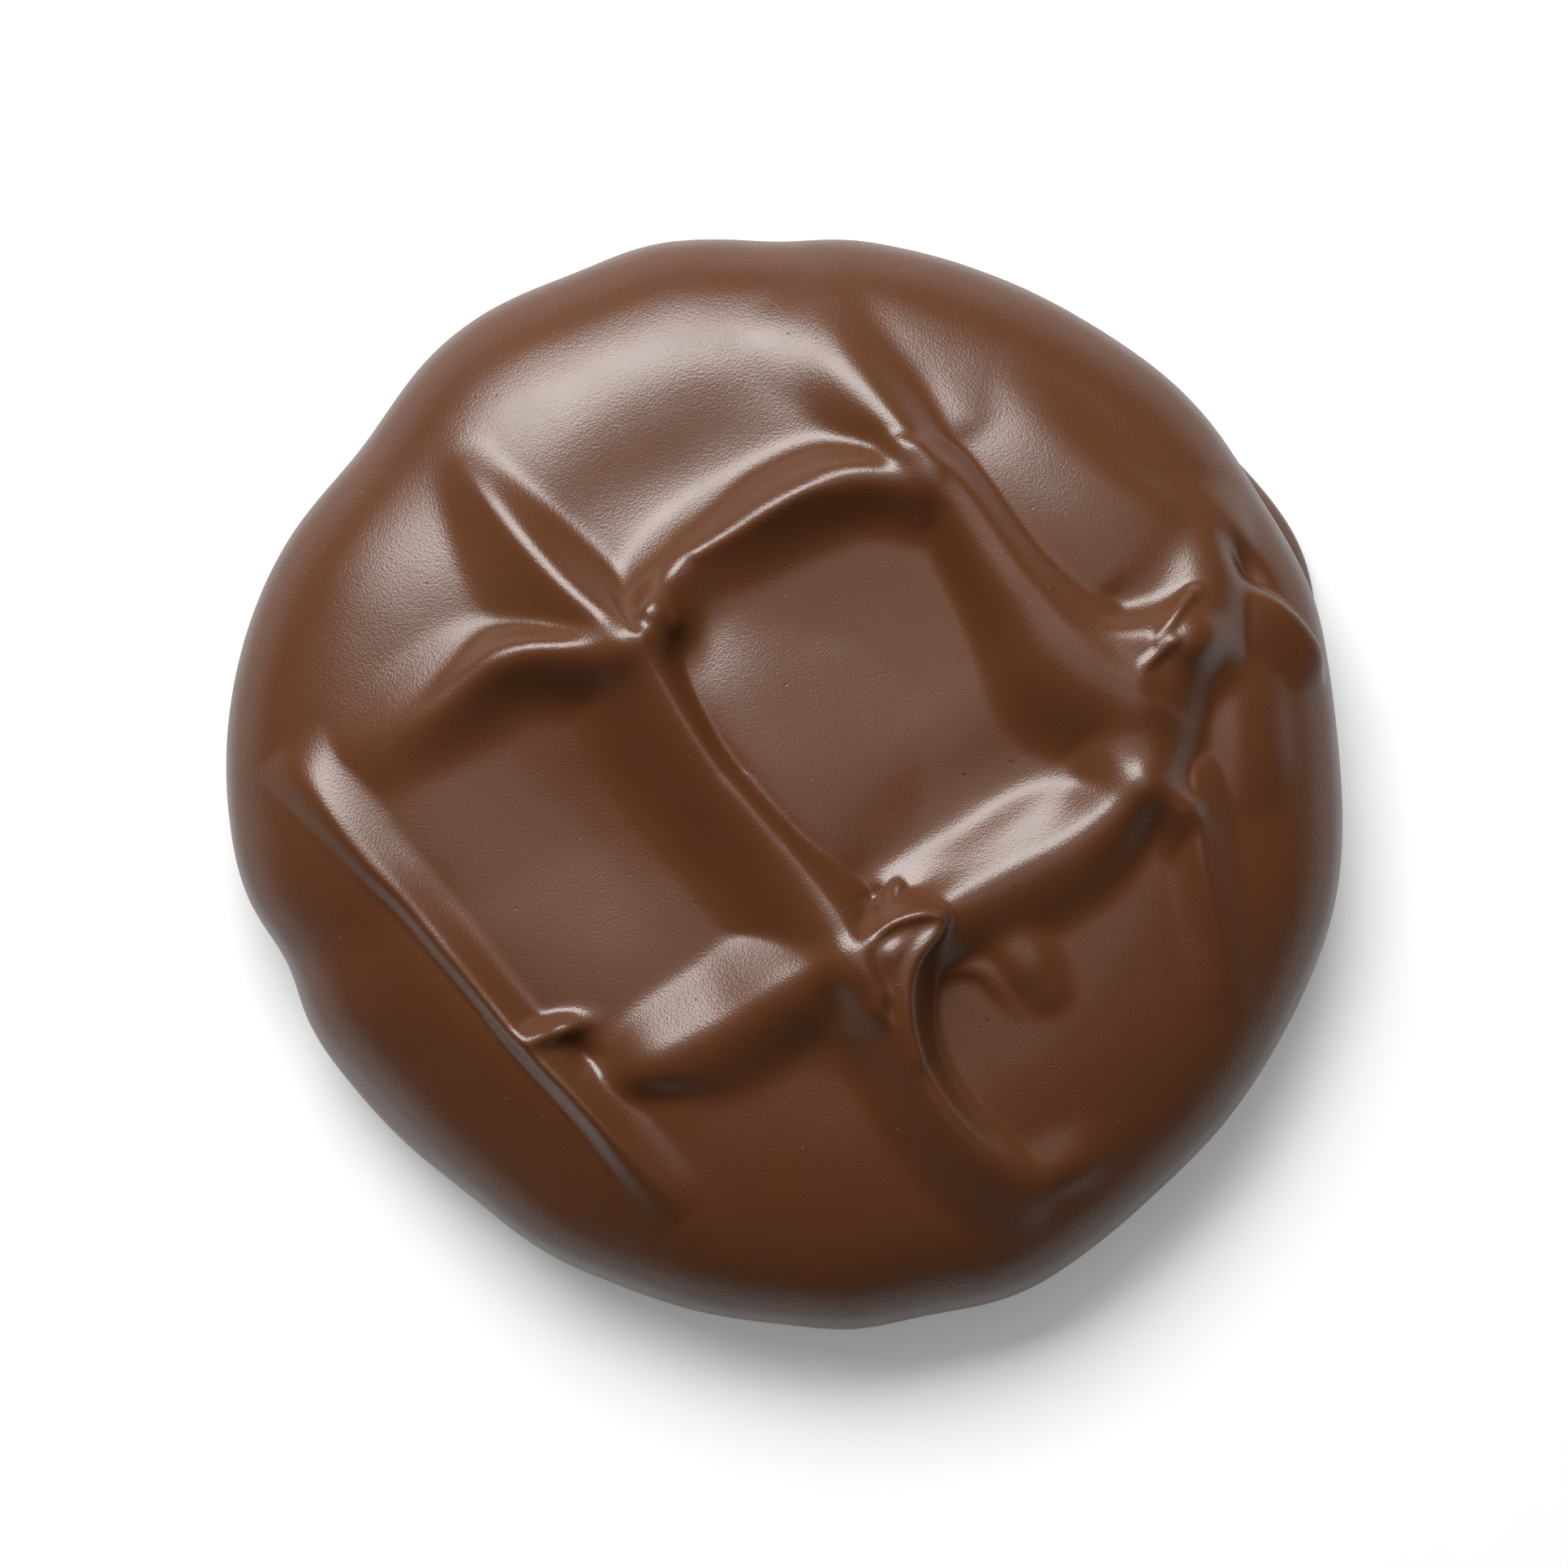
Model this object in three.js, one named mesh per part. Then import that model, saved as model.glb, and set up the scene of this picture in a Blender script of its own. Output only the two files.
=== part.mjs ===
import * as THREE from "three";

// A round filled chocolate, coated all over, with ridges pulled up in a slanted square pattern.
// Sizes are in millimetres. X points right, Y points away, Z points up, and the flat foot rests on Z = 0.

// Outline seen from above: a circle with broad swells (positive) and dents (negative) at their bearings.
const OUTLINE_CENTRE = { x: 0.3, y: 0.2 };
const OUTLINE_RADIUS = 22.35;
const OUTLINE_SWELLS = [
  { bearing: 23, size: 0.7, spread: 10 },
  { bearing: 31, size: 0.8, spread: 18 },
  { bearing: 91, size: -0.2, spread: 5 },
  { bearing: 105, size: 0.35, spread: 7 },
  { bearing: 125, size: 0.55, spread: 12 },
  { bearing: 143, size: -0.45, spread: 9 },
  { bearing: 174, size: 0.95, spread: 33 },
  { bearing: 200, size: -0.65, spread: 6 },
  { bearing: 234, size: -0.5, spread: 9 },
  { bearing: 277, size: 0.4, spread: 7 },
  { bearing: 297, size: 1.25, spread: 11 },
  { bearing: 323, size: 0.4, spread: 14 },
  { bearing: 347, size: 0.6, spread: 14 },
];
// Bearings where the upper body stays back, so that the foot shows outside it.
// Above the height fullAbove it stays back in full.
const TUCKS = [
  { bearing: 27, size: 1.1, spread: 12, fullAbove: 2.4 },
  { bearing: 219, size: 1.0, spread: 14, fullAbove: 5.5 },
  { bearing: 250, size: 0.4, spread: 9, fullAbove: 4.5 },
  { bearing: 299, size: 0.5, spread: 8, fullAbove: 2.4 },
];
const TUCK_STARTS_ABOVE = 0.6;

// Section of the body from the middle of the top to the edge of the flat foot.
// Each row is a share of the outline radius and a height.
const SECTION = [
  [0.0, 9.5],
  [0.2, 9.46],
  [0.4, 9.26],
  [0.6, 8.83],
  [0.7, 8.45],
  [0.8, 7.82],
  [0.87, 7.15],
  [0.92, 6.42],
  [0.96, 5.55],
  [0.985, 4.7],
  [1.0, 3.5],
  [0.996, 2.4],
  [0.984, 1.6],
  [0.986, 0.85],
  [0.982, 0.35],
  [0.955, 0.0],
];
const SECTION_STEPS = 16;

// The ridges fade out down the side, between these two heights of the body.
const RELIEF_ENDS_BELOW = 3.0;
const RELIEF_FULL_ABOVE = 5.5;
// Where the body turns this much towards the side, the ridges start to stand out sideways.
const SIDEWAYS_STARTS = 0.3;
const SIDEWAYS_FULL = 0.7;

// Flank forms: the height left at a share q of the reach is (1 - q^bend)^fall.
const FLANK = {
  hollow: { bend: 1.0, fall: 1.5 },
  ramp: { bend: 1.0, fall: 1.1 },
  sweep: { bend: 1.0, fall: 1.35 },
  front: { bend: 1.35, fall: 2.2 },
  slope: { bend: 1.6, fall: 2.2 },
  shoulder: { bend: 2.2, fall: 1.3 },
  mound: { bend: 2.0, fall: 2.0 },
  wall: { bend: 3.0, fall: 1.1 },
};
// A sharper crest or a narrower flank would be finer than the surface grid can show.
const LEAST_ROUNDING = 0.5;
const LEAST_REACH = 1.6;
const CURVE_STEPS = 6;

// Two ridges that overlap join in a soft saddle. A higher power makes a sharper valley line.
const JOIN_POWER = 6;

// Each crest row holds: x, y, height over the body, reach of the left flank, reach of the right flank,
// and the rounding of the crest.
// Left and right are as seen when walking along the crest from its first row to its last.
const RIDGES = [
  {
    name: "right long ridge, far part",
    left: FLANK.hollow,
    right: FLANK.sweep,
    crest: [
      [-0.13, 19.98, 0.0, 2.6, 3.0, 1.2],
      [1.11, 18.42, 0.35, 2.4, 3.0, 1.1],
      [2.41, 16.79, 0.75, 2.2, 2.7, 0.9],
      [3.88, 15.0, 1.1, 2.0, 2.3, 0.8],
      [5.02, 13.63, 1.35, 1.8, 2.0, 0.7],
      [5.99, 12.49, 1.5, 1.4, 1.8, 0.6],
    ],
  },
  {
    name: "right long ridge, near part",
    left: FLANK.ramp,
    right: FLANK.mound,
    crest: [
      [5.28, 13.34, 1.45, 1.3, 2.4, 0.4],
      [6.32, 12.43, 1.4, 1.4, 2.4, 0.45],
      [7.17, 11.45, 1.35, 1.5, 2.4, 0.45],
      [8.05, 10.18, 1.35, 1.65, 2.6, 0.45],
      [9.19, 8.45, 1.4, 1.9, 2.9, 0.45],
      [10.26, 7.08, 1.4, 2.3, 3.6, 0.45],
      [11.37, 5.78, 1.45, 2.8, 4.4, 0.45],
      [12.57, 4.67, 1.5, 3.0, 4.6, 0.45],
      [13.88, 3.89, 1.5, 3.0, 4.0, 0.45],
    ],
  },
  {
    name: "lip of the right hollow",
    left: FLANK.sweep,
    right: FLANK.mound,
    crest: [
      [12.35, 6.3, 1.05, 0.8, 2.4, 0.3],
      [13.65, 6.04, 1.2, 1.0, 3.0, 0.3],
      [14.92, 6.24, 1.3, 1.1, 3.0, 0.3],
      [15.93, 7.02, 1.3, 1.1, 2.0, 0.3],
    ],
  },
  {
    name: "middle long ridge, far part",
    left: FLANK.ramp,
    right: FLANK.sweep,
    crest: [
      [-13.13, 13.24, 0.1, 1.2, 1.3, 0.1],
      [-12.08, 11.81, 0.68, 1.4, 2.0, 0.12],
      [-10.52, 9.89, 1.15, 1.75, 3.0, 0.14],
      [-8.93, 8.13, 1.5, 1.85, 3.4, 0.2],
      [-7.49, 6.82, 1.75, 1.7, 3.4, 0.35],
      [-6.06, 5.65, 2.0, 1.4, 3.6, 0.6],
    ],
  },
  {
    name: "middle long ridge, between the crossings",
    left: FLANK.ramp,
    right: FLANK.slope,
    crest: [
      [-5.73, 5.72, 2.0, 1.4, 4.1, 0.3],
      [-4.82, 4.15, 1.75, 1.1, 4.3, 0.2],
      [-3.94, 2.65, 1.6, 1.0, 4.4, 0.15],
      [-2.8, 0.9, 1.5, 0.9, 4.4, 0.12],
      [-1.37, -0.8, 1.48, 0.9, 4.4, 0.12],
      [0.07, -2.49, 1.52, 1.0, 4.4, 0.15],
      [1.24, -4.02, 1.65, 1.4, 4.3, 0.25],
      [2.28, -5.55, 1.95, 1.8, 4.2, 0.4],
      [3.13, -7.15, 2.2, 1.4, 3.8, 0.5],
      [3.78, -8.36, 2.1, 1.0, 3.3, 0.5],
    ],
  },
  {
    name: "middle long ridge, near part",
    left: FLANK.shoulder,
    right: FLANK.ramp,
    crest: [
      [4.3, -6.82, 2.15, 0.9, 2.8, 0.3],
      [4.56, -7.96, 2.05, 0.9, 2.8, 0.3],
      [4.76, -8.94, 1.95, 0.9, 2.8, 0.25],
      [5.02, -10.24, 1.8, 0.9, 2.7, 0.25],
      [5.67, -11.87, 1.6, 0.9, 2.6, 0.25],
      [6.64, -13.5, 1.4, 1.0, 2.5, 0.25],
      [7.82, -15.0, 1.1, 1.3, 2.5, 0.3],
      [9.41, -16.43, 0.6, 1.6, 2.2, 0.4],
      [10.62, -17.57, 0.0, 1.6, 1.8, 0.4],
    ],
  },
  {
    name: "side of the near part",
    left: FLANK.mound,
    right: FLANK.ramp,
    crest: [
      [3.13, -7.64, 1.75, 1.0, 2.2, 0.4],
      [3.84, -8.78, 1.6, 1.0, 2.2, 0.4],
      [4.5, -9.98, 1.4, 1.0, 2.0, 0.4],
      [5.15, -11.29, 1.2, 1.0, 1.8, 0.4],
    ],
  },
  {
    name: "left long ridge",
    left: FLANK.sweep,
    right: FLANK.ramp,
    crest: [
      [-20.39, 1.42, 0.0, 2.2, 1.6, 0.5],
      [-19.32, 0.18, 0.5, 2.2, 1.5, 0.4],
      [-18.18, -1.32, 0.75, 2.0, 1.4, 0.3],
      [-16.81, -2.98, 0.85, 1.8, 1.3, 0.2],
      [-15.11, -4.74, 0.95, 1.6, 1.1, 0.15],
      [-13.52, -6.63, 1.05, 1.5, 1.0, 0.15],
      [-12.02, -8.45, 1.15, 1.4, 0.9, 0.15],
      [-10.75, -9.98, 1.35, 1.4, 1.0, 0.15],
      [-9.12, -11.68, 1.4, 1.4, 1.1, 0.15],
      [-7.62, -13.31, 1.25, 1.5, 1.2, 0.15],
      [-5.8, -15.55, 0.8, 1.8, 1.4, 0.25],
      [-3.94, -17.51, 0.1, 1.8, 1.6, 0.4],
    ],
  },
  {
    name: "right edge ridge, far part",
    left: FLANK.mound,
    right: FLANK.ramp,
    crest: [
      [17.39, 12.23, 0.1, 2.0, 2.4, 0.4],
      [17.0, 10.6, 0.55, 2.4, 2.8, 0.4],
      [16.81, 8.97, 0.9, 2.6, 3.0, 0.35],
      [16.74, 7.51, 1.1, 2.6, 3.0, 0.35],
      [16.55, 6.37, 1.15, 2.5, 3.2, 0.35],
      [16.09, 5.49, 1.2, 2.4, 3.4, 0.4],
    ],
  },
  {
    name: "right edge ridge, middle part",
    left: FLANK.shoulder,
    right: FLANK.mound,
    crest: [
      [15.24, 5.0, 1.3, 2.6, 3.4, 0.3],
      [14.66, 4.15, 1.25, 2.8, 3.6, 0.2],
      [14.33, 3.18, 1.25, 2.8, 3.6, 0.15],
      [14.07, 1.64, 1.25, 2.7, 3.4, 0.15],
      [14.2, 0.18, 1.4, 2.2, 2.8, 0.2],
    ],
  },
  {
    name: "right edge ridge, near part",
    left: FLANK.mound,
    right: FLANK.hollow,
    crest: [
      [14.2, 0.11, 1.4, 1.4, 1.8, 0.25],
      [15.18, -0.47, 1.25, 1.2, 2.0, 0.25],
      [16.22, -1.06, 1.15, 0.9, 2.4, 0.25],
    ],
  },
  {
    name: "cross ridge over the left hollow",
    left: FLANK.mound,
    right: FLANK.front,
    crest: [
      [-15.83, 1.48, 0.35, 1.2, 2.4, 0.4],
      [-14.69, 2.36, 0.65, 1.1, 2.7, 0.4],
      [-13.55, 3.31, 0.95, 1.0, 3.0, 0.35],
      [-12.51, 4.15, 1.2, 1.2, 3.1, 0.2],
      [-11.43, 4.9, 1.45, 1.5, 3.1, 0.1],
      [-10.13, 5.33, 1.6, 1.3, 3.1, 0.2],
      [-8.66, 5.46, 1.75, 0.9, 3.1, 0.4],
      [-6.71, 5.39, 1.9, 1.4, 3.1, 0.6],
    ],
  },
  {
    name: "rise behind the left cross ridge",
    left: FLANK.sweep,
    right: FLANK.hollow,
    crest: [
      [-17.13, 1.32, 0.2, 1.6, 1.5, 0.3],
      [-15.18, 2.79, 0.4, 1.9, 1.5, 0.3],
      [-13.55, 3.93, 0.5, 2.1, 1.5, 0.3],
      [-12.25, 4.8, 0.55, 2.0, 1.5, 0.3],
      [-10.62, 5.39, 0.6, 1.6, 1.5, 0.3],
      [-8.99, 5.65, 0.8, 1.3, 1.5, 0.3],
    ],
  },
  {
    name: "cross ridge over the middle hollow",
    left: FLANK.mound,
    right: FLANK.front,
    crest: [
      [-5.67, 6.82, 1.6, 0.7, 2.4, 0.3],
      [-4.5, 8.39, 1.0, 0.8, 2.7, 0.2],
      [-3.39, 9.3, 0.98, 1.0, 2.8, 0.1],
      [-2.08, 10.02, 1.15, 1.4, 2.9, 0.1],
      [-0.59, 10.93, 1.4, 1.8, 2.9, 0.1],
      [1.11, 11.74, 1.5, 1.9, 2.9, 0.1],
      [2.74, 12.23, 1.45, 1.6, 2.8, 0.2],
      [4.36, 12.23, 1.35, 1.2, 2.7, 0.4],
      [5.99, 11.84, 1.35, 1.0, 2.7, 0.4],
    ],
  },
  {
    name: "rise behind the middle cross ridge",
    left: FLANK.sweep,
    right: FLANK.hollow,
    crest: [
      [-6.12, 6.43, 0.9, 1.4, 1.5, 0.3],
      [-4.5, 8.39, 0.68, 2.0, 1.5, 0.3],
      [-3.13, 9.5, 0.6, 2.1, 1.5, 0.3],
      [-1.5, 10.54, 0.58, 2.2, 1.5, 0.3],
      [0.29, 11.51, 0.58, 2.2, 1.5, 0.3],
      [2.08, 12.17, 0.62, 2.1, 1.5, 0.3],
      [3.88, 12.3, 0.8, 1.9, 1.5, 0.3],
      [5.67, 11.91, 1.0, 1.5, 1.5, 0.3],
    ],
  },
  {
    name: "near cross ridge, left part",
    left: FLANK.ramp,
    right: FLANK.mound,
    crest: [
      [-6.64, -11.94, 0.2, 1.2, 1.4, 0.3],
      [-5.99, -11.48, 0.7, 1.7, 2.2, 0.25],
      [-5.15, -10.96, 0.95, 2.2, 2.9, 0.2],
      [-3.71, -10.24, 1.05, 2.5, 3.2, 0.15],
      [-2.15, -9.33, 1.15, 2.6, 3.3, 0.15],
      [-0.52, -8.29, 1.4, 2.8, 3.3, 0.2],
      [1.11, -7.38, 1.7, 2.6, 3.5, 0.3],
      [2.74, -6.6, 2.05, 2.0, 3.5, 0.4],
    ],
  },
  {
    name: "near cross ridge, right part",
    left: FLANK.ramp,
    right: FLANK.mound,
    crest: [
      [4.63, -5.94, 2.1, 1.2, 2.6, 0.3],
      [5.67, -5.29, 1.7, 1.5, 2.8, 0.3],
      [6.48, -4.77, 1.35, 1.9, 3.0, 0.25],
      [8.01, -4.02, 1.1, 2.3, 3.3, 0.25],
      [9.64, -3.21, 1.05, 2.3, 3.3, 0.25],
      [11.21, -2.43, 1.1, 2.2, 3.1, 0.25],
      [12.57, -1.45, 1.25, 2.0, 2.6, 0.3],
      [14.2, 0.05, 1.4, 1.8, 1.8, 0.3],
    ],
  },
  {
    name: "terrace of the near cross ridge",
    left: FLANK.sweep,
    right: FLANK.mound,
    crest: [
      [4.36, -4.32, 0.4, 1.3, 1.2, 0.5],
      [6.06, -3.6, 0.45, 1.4, 1.2, 0.5],
      [7.75, -2.82, 0.5, 1.4, 1.2, 0.5],
      [9.51, -1.71, 0.5, 1.4, 1.2, 0.5],
      [10.88, -0.93, 0.35, 1.3, 1.2, 0.5],
      [11.6, -0.67, 0.15, 1.2, 1.0, 0.5],
    ],
  },
  {
    name: "swell on the upper right",
    left: FLANK.sweep,
    right: FLANK.hollow,
    crest: [
      [5.34, 13.86, 0.0, 2.4, 1.4, 0.4],
      [7.3, 14.51, 0.22, 2.8, 1.6, 0.4],
      [9.41, 15.16, 0.0, 2.4, 1.4, 0.4],
    ],
  },
  {
    name: "nose below the near cross ridge",
    left: FLANK.mound,
    right: FLANK.mound,
    crest: [
      [8.11, -5.1, 0.35, 1.4, 1.4, 0.5],
      [9.06, -6.27, 0.45, 1.5, 1.5, 0.5],
      [9.84, -7.31, 0.5, 1.5, 1.4, 0.5],
      [10.36, -8.09, 0.3, 1.3, 1.2, 0.5],
    ],
  },
  {
    name: "rise at the near edge",
    left: FLANK.ramp,
    right: FLANK.mound,
    crest: [
      [9.09, -16.37, 0.0, 1.4, 1.2, 0.3],
      [11.21, -15.46, 0.4, 1.7, 1.4, 0.3],
      [13.32, -14.22, 0.0, 1.4, 1.2, 0.3],
    ],
  },
  {
    name: "step on the right",
    left: FLANK.ramp,
    right: FLANK.hollow,
    crest: [
      [16.22, 1.32, 0.0, 1.6, 1.5, 0.2],
      [16.35, 0.34, 0.4, 1.6, 1.5, 0.1],
      [16.51, -0.96, 0.68, 1.6, 1.45, 0.06],
      [16.64, -2.59, 0.75, 1.6, 1.4, 0.05],
      [17.0, -4.32, 0.62, 1.5, 1.5, 0.06],
      [17.46, -6.01, 0.42, 1.4, 1.6, 0.1],
      [17.82, -7.8, 0.2, 1.3, 1.6, 0.2],
      [18.01, -9.27, 0.0, 1.2, 1.5, 0.3],
    ],
  },
  {
    name: "leaf of the near crossing",
    left: FLANK.ramp,
    right: FLANK.ramp,
    crest: [
      [3.26, -6.34, 2.05, 1.0, 1.6, 0.1],
      [3.94, -5.68, 2.2, 1.2, 1.6, 0.06],
      [4.69, -5.29, 2.25, 1.35, 1.6, 0.05],
      [5.5, -5.1, 2.15, 1.2, 1.4, 0.05],
      [6.22, -5.16, 1.9, 0.9, 1.0, 0.1],
    ],
  },
  {
    name: "floor of the right hollow",
    left: FLANK.mound,
    right: FLANK.shoulder,
    crest: [
      [7.46, 15.81, 0.0, 2.4, 2.6, 0.8],
      [8.44, 14.9, 0.15, 2.8, 3.6, 0.8],
      [9.74, 13.7, 0.35, 3.0, 4.6, 0.8],
      [11.37, 12.3, 0.5, 2.8, 5.4, 0.8],
      [13.16, 11.12, 0.58, 2.6, 5.6, 0.8],
      [14.95, 10.11, 0.6, 2.4, 4.6, 0.8],
      [15.93, 8.97, 0.45, 2.2, 3.6, 0.8],
    ],
  },
  {
    name: "panel below the left ridge",
    left: FLANK.mound,
    right: FLANK.front,
    crest: [
      [-20.07, 0.18, 0.0, 1.0, 2.4, 0.4],
      [-18.44, -2.1, 0.25, 1.0, 2.8, 0.4],
      [-17.13, -3.66, 0.35, 1.0, 3.2, 0.4],
      [-15.57, -5.42, 0.42, 1.0, 3.5, 0.4],
      [-14.01, -7.31, 0.5, 1.0, 3.6, 0.4],
      [-12.51, -9.14, 0.55, 1.0, 3.6, 0.4],
      [-11.14, -10.64, 0.6, 1.0, 3.6, 0.4],
      [-9.51, -12.26, 0.6, 1.0, 3.4, 0.4],
      [-8.01, -13.89, 0.5, 1.0, 3.2, 0.4],
      [-6.19, -16.04, 0.3, 1.0, 2.6, 0.4],
      [-4.27, -17.83, 0.0, 1.0, 2.0, 0.4],
    ],
  },
  {
    name: "swell of the right panel",
    left: FLANK.mound,
    right: FLANK.mound,
    crest: [
      [18.37, 5.39, 0.0, 1.8, 1.5, 0.6],
      [18.53, 3.76, 0.3, 2.0, 1.6, 0.6],
      [18.7, 2.13, 0.4, 2.0, 1.7, 0.6],
      [18.86, 0.5, 0.3, 2.0, 1.6, 0.6],
      [19.02, -1.45, 0.0, 1.6, 1.4, 0.6],
    ],
  },
  {
    name: "floor beside the middle ridge",
    left: FLANK.ramp,
    right: FLANK.mound,
    crest: [
      [-4.17, 5.72, 0.0, 3.0, 1.8, 0.6],
      [-3.06, 3.83, 0.4, 4.5, 1.8, 0.6],
      [-1.82, 2.0, 0.55, 6.0, 1.8, 0.6],
      [-0.46, 0.24, 0.6, 6.5, 1.8, 0.6],
      [0.85, -1.38, 0.55, 6.0, 1.8, 0.6],
      [1.89, -2.82, 0.35, 4.5, 1.8, 0.6],
      [2.74, -4.06, 0.0, 3.0, 1.5, 0.6],
    ],
  },
  {
    name: "flap at the right edge",
    left: FLANK.wall,
    right: FLANK.hollow,
    crest: [
      [17.79, 9.14, 0.0, 0.4, 2.0, 0.1],
      [18.53, 8.26, 0.4, 0.4, 2.6, 0.1],
      [19.61, 7.28, 0.6, 0.4, 3.0, 0.1],
      [20.72, 6.21, 0.6, 0.4, 2.6, 0.1],
      [21.43, 5.13, 0.5, 0.4, 2.0, 0.1],
      [21.76, 3.76, 0.0, 0.4, 1.6, 0.1],
    ],
  },
];

// Lobes and hollows: centre, height (below 0 where sunken), the two half widths, the turn of the first
// one from X, and the form of the edge: 1 is a bell, more is a flatter middle with a steeper edge.
const SPOTS = [
  {
    name: "floor of the middle hollow", x: 4.04, y: 5.39,
    height: -0.6, along: 5.8, across: 4.4, turn: -55, edge: 1.2,
  },
  {
    name: "deep end of the middle hollow", x: 8.11, y: 0.02,
    height: -0.45, along: 4.2, across: 2.0, turn: 32, edge: 1,
  },
  {
    name: "floor of the left hollow", x: -8.18, y: -1.78,
    height: -0.75, along: 5.5, across: 3.6, turn: -55, edge: 1,
  },
  {
    name: "floor of the far hollow", x: -4.36, y: 12.62,
    height: -0.45, along: 5.5, across: 2.7, turn: 27, edge: 1,
  },
  {
    name: "dent below the near cross ridge", x: -4.59, y: -12.46,
    height: -0.25, along: 1.6, across: 0.6, turn: 0, edge: 1,
  },
  {
    name: "hollow beside the hooked tip", x: -7.95, y: -10.9,
    height: -0.35, along: 0.7, across: 0.5, turn: -35, edge: 1,
  },
  {
    name: "pit below the near crossing", x: 2.08, y: -8.55,
    height: -0.15, along: 1.3, across: 0.8, turn: -20, edge: 1,
  },
  {
    name: "basin beside the leaf", x: 3.52, y: -4.64,
    height: -0.3, along: 0.5, across: 0.4, turn: 40, edge: 1,
  },
  {
    name: "pit beside the flap", x: 18.63, y: 8.75,
    height: -0.6, along: 1.4, across: 0.45, turn: -55, edge: 1,
  },
  {
    name: "lobe of the middle crossing", x: -4.69, y: 6.37,
    height: 0.8, along: 1.3, across: 0.95, turn: -60, edge: 1.2,
  },
  {
    name: "hooked tip of the left ridge", x: -9.12, y: -9.85,
    height: 0.8, along: 1.15, across: 0.5, turn: 14, edge: 1.2,
  },
  {
    name: "lump of the right crossing", x: 16.55, y: 5.85,
    height: 0.5, along: 1.15, across: 0.95, turn: 0, edge: 1.3,
  },
];

// Rings of the surface grid: the first ones cover the top, the rest cover the side down to the foot.
const TOP_RINGS = 30;
const SIDE_RINGS = 7;
const TOP_ENDS_AT_SHARE = 0.96;

const DEGREE = Math.PI / 180;
// The grid is turned so that its lines run along the long ridges.
const GRID_TURN = -52 * DEGREE;

// A smooth curve (Catmull-Rom) through rows of numbers, returned as more rows.
function smoothRows(rows, steps) {
  const last = rows.length - 1;
  const before = rows[0].map((value, i) => 2 * value - rows[1][i]);
  const after = rows[last].map((value, i) => 2 * value - rows[last - 1][i]);
  const all = [before, ...rows, after];
  const result = [];
  for (let k = 1; k <= last; k += 1) {
    for (let step = 0; step < steps; step += 1) {
      const t = step / steps;
      result.push(rows[0].map((_, i) => {
        const [a, b, c, d] = [all[k - 1][i], all[k][i], all[k + 1][i], all[k + 2][i]];
        const linear = (c - a) * t;
        const square = (2 * a - 5 * b + 4 * c - d) * t * t;
        const cube = (3 * b - a - 3 * c + d) * t * t * t;
        return 0.5 * (2 * b + linear + square + cube);
      }));
    }
  }
  result.push(rows[last]);
  return result;
}

function clampShare(value) {
  return Math.min(1, Math.max(0, value));
}

// Smooth change from 0 to 1 while value goes from start to end.
function smoothShare(value, start, end) {
  const t = clampShare((value - start) / (end - start));
  return t * t * (3 - 2 * t);
}

// A swell at a bearing, which fades on both sides of its own bearing.
function swellAt(swell, bearing) {
  const apart = ((bearing / DEGREE - swell.bearing + 900) % 360) - 180;
  return swell.size * Math.exp(-((apart / swell.spread) ** 2));
}

// Radius of the body at a bearing, for a place on its section.
function bodyRadius(place, bearing) {
  let radius = OUTLINE_RADIUS;
  for (const swell of OUTLINE_SWELLS) {
    radius += swellAt(swell, bearing);
  }
  for (const tuck of TUCKS) {
    radius -= swellAt(tuck, bearing) * smoothShare(place.z, TUCK_STARTS_ABOVE, tuck.fullAbove);
  }
  return place.share * radius;
}

// Height of one ridge over the body at a point seen from above.
function ridgeHeight(ridge, x, y) {
  let nearest = Infinity;
  let found = null;
  for (let k = 1; k < ridge.path.length; k += 1) {
    const from = ridge.path[k - 1];
    const to = ridge.path[k];
    const dx = to[0] - from[0];
    const dy = to[1] - from[1];
    const share = clampShare(((x - from[0]) * dx + (y - from[1]) * dy) / (dx * dx + dy * dy));
    const offX = x - from[0] - share * dx;
    const offY = y - from[1] - share * dy;
    const distance = Math.hypot(offX, offY);
    if (distance < nearest) {
      nearest = distance;
      found = { from, to, share, onLeft: dx * offY - dy * offX > 0 };
    }
  }
  const between = (column) => found.from[column] + found.share * (found.to[column] - found.from[column]);
  const height = Math.max(0, between(2));
  const reach = Math.max(LEAST_REACH, found.onLeft ? between(3) : between(4));
  const form = found.onLeft ? ridge.left : ridge.right;
  const rounding = Math.max(LEAST_ROUNDING, between(5));
  const fromCrest = Math.hypot(nearest, rounding) - rounding;
  const wholeReach = Math.hypot(reach, rounding) - rounding;
  const share = clampShare(fromCrest / wholeReach);
  return height * (1 - share ** form.bend) ** form.fall;
}

function spotHeight(spot, x, y) {
  const turn = spot.turn * DEGREE;
  const along = ((x - spot.x) * Math.cos(turn) + (y - spot.y) * Math.sin(turn)) / spot.along;
  const across = ((y - spot.y) * Math.cos(turn) - (x - spot.x) * Math.sin(turn)) / spot.across;
  return spot.height * Math.exp(-((along * along + across * across) ** spot.edge));
}

function reliefAt(ridges, x, y) {
  let joined = 0;
  for (const ridge of ridges) {
    joined += ridgeHeight(ridge, x, y) ** JOIN_POWER;
  }
  let height = joined ** (1 / JOIN_POWER);
  for (const spot of SPOTS) {
    height += spotHeight(spot, x, y);
  }
  return height;
}

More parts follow.
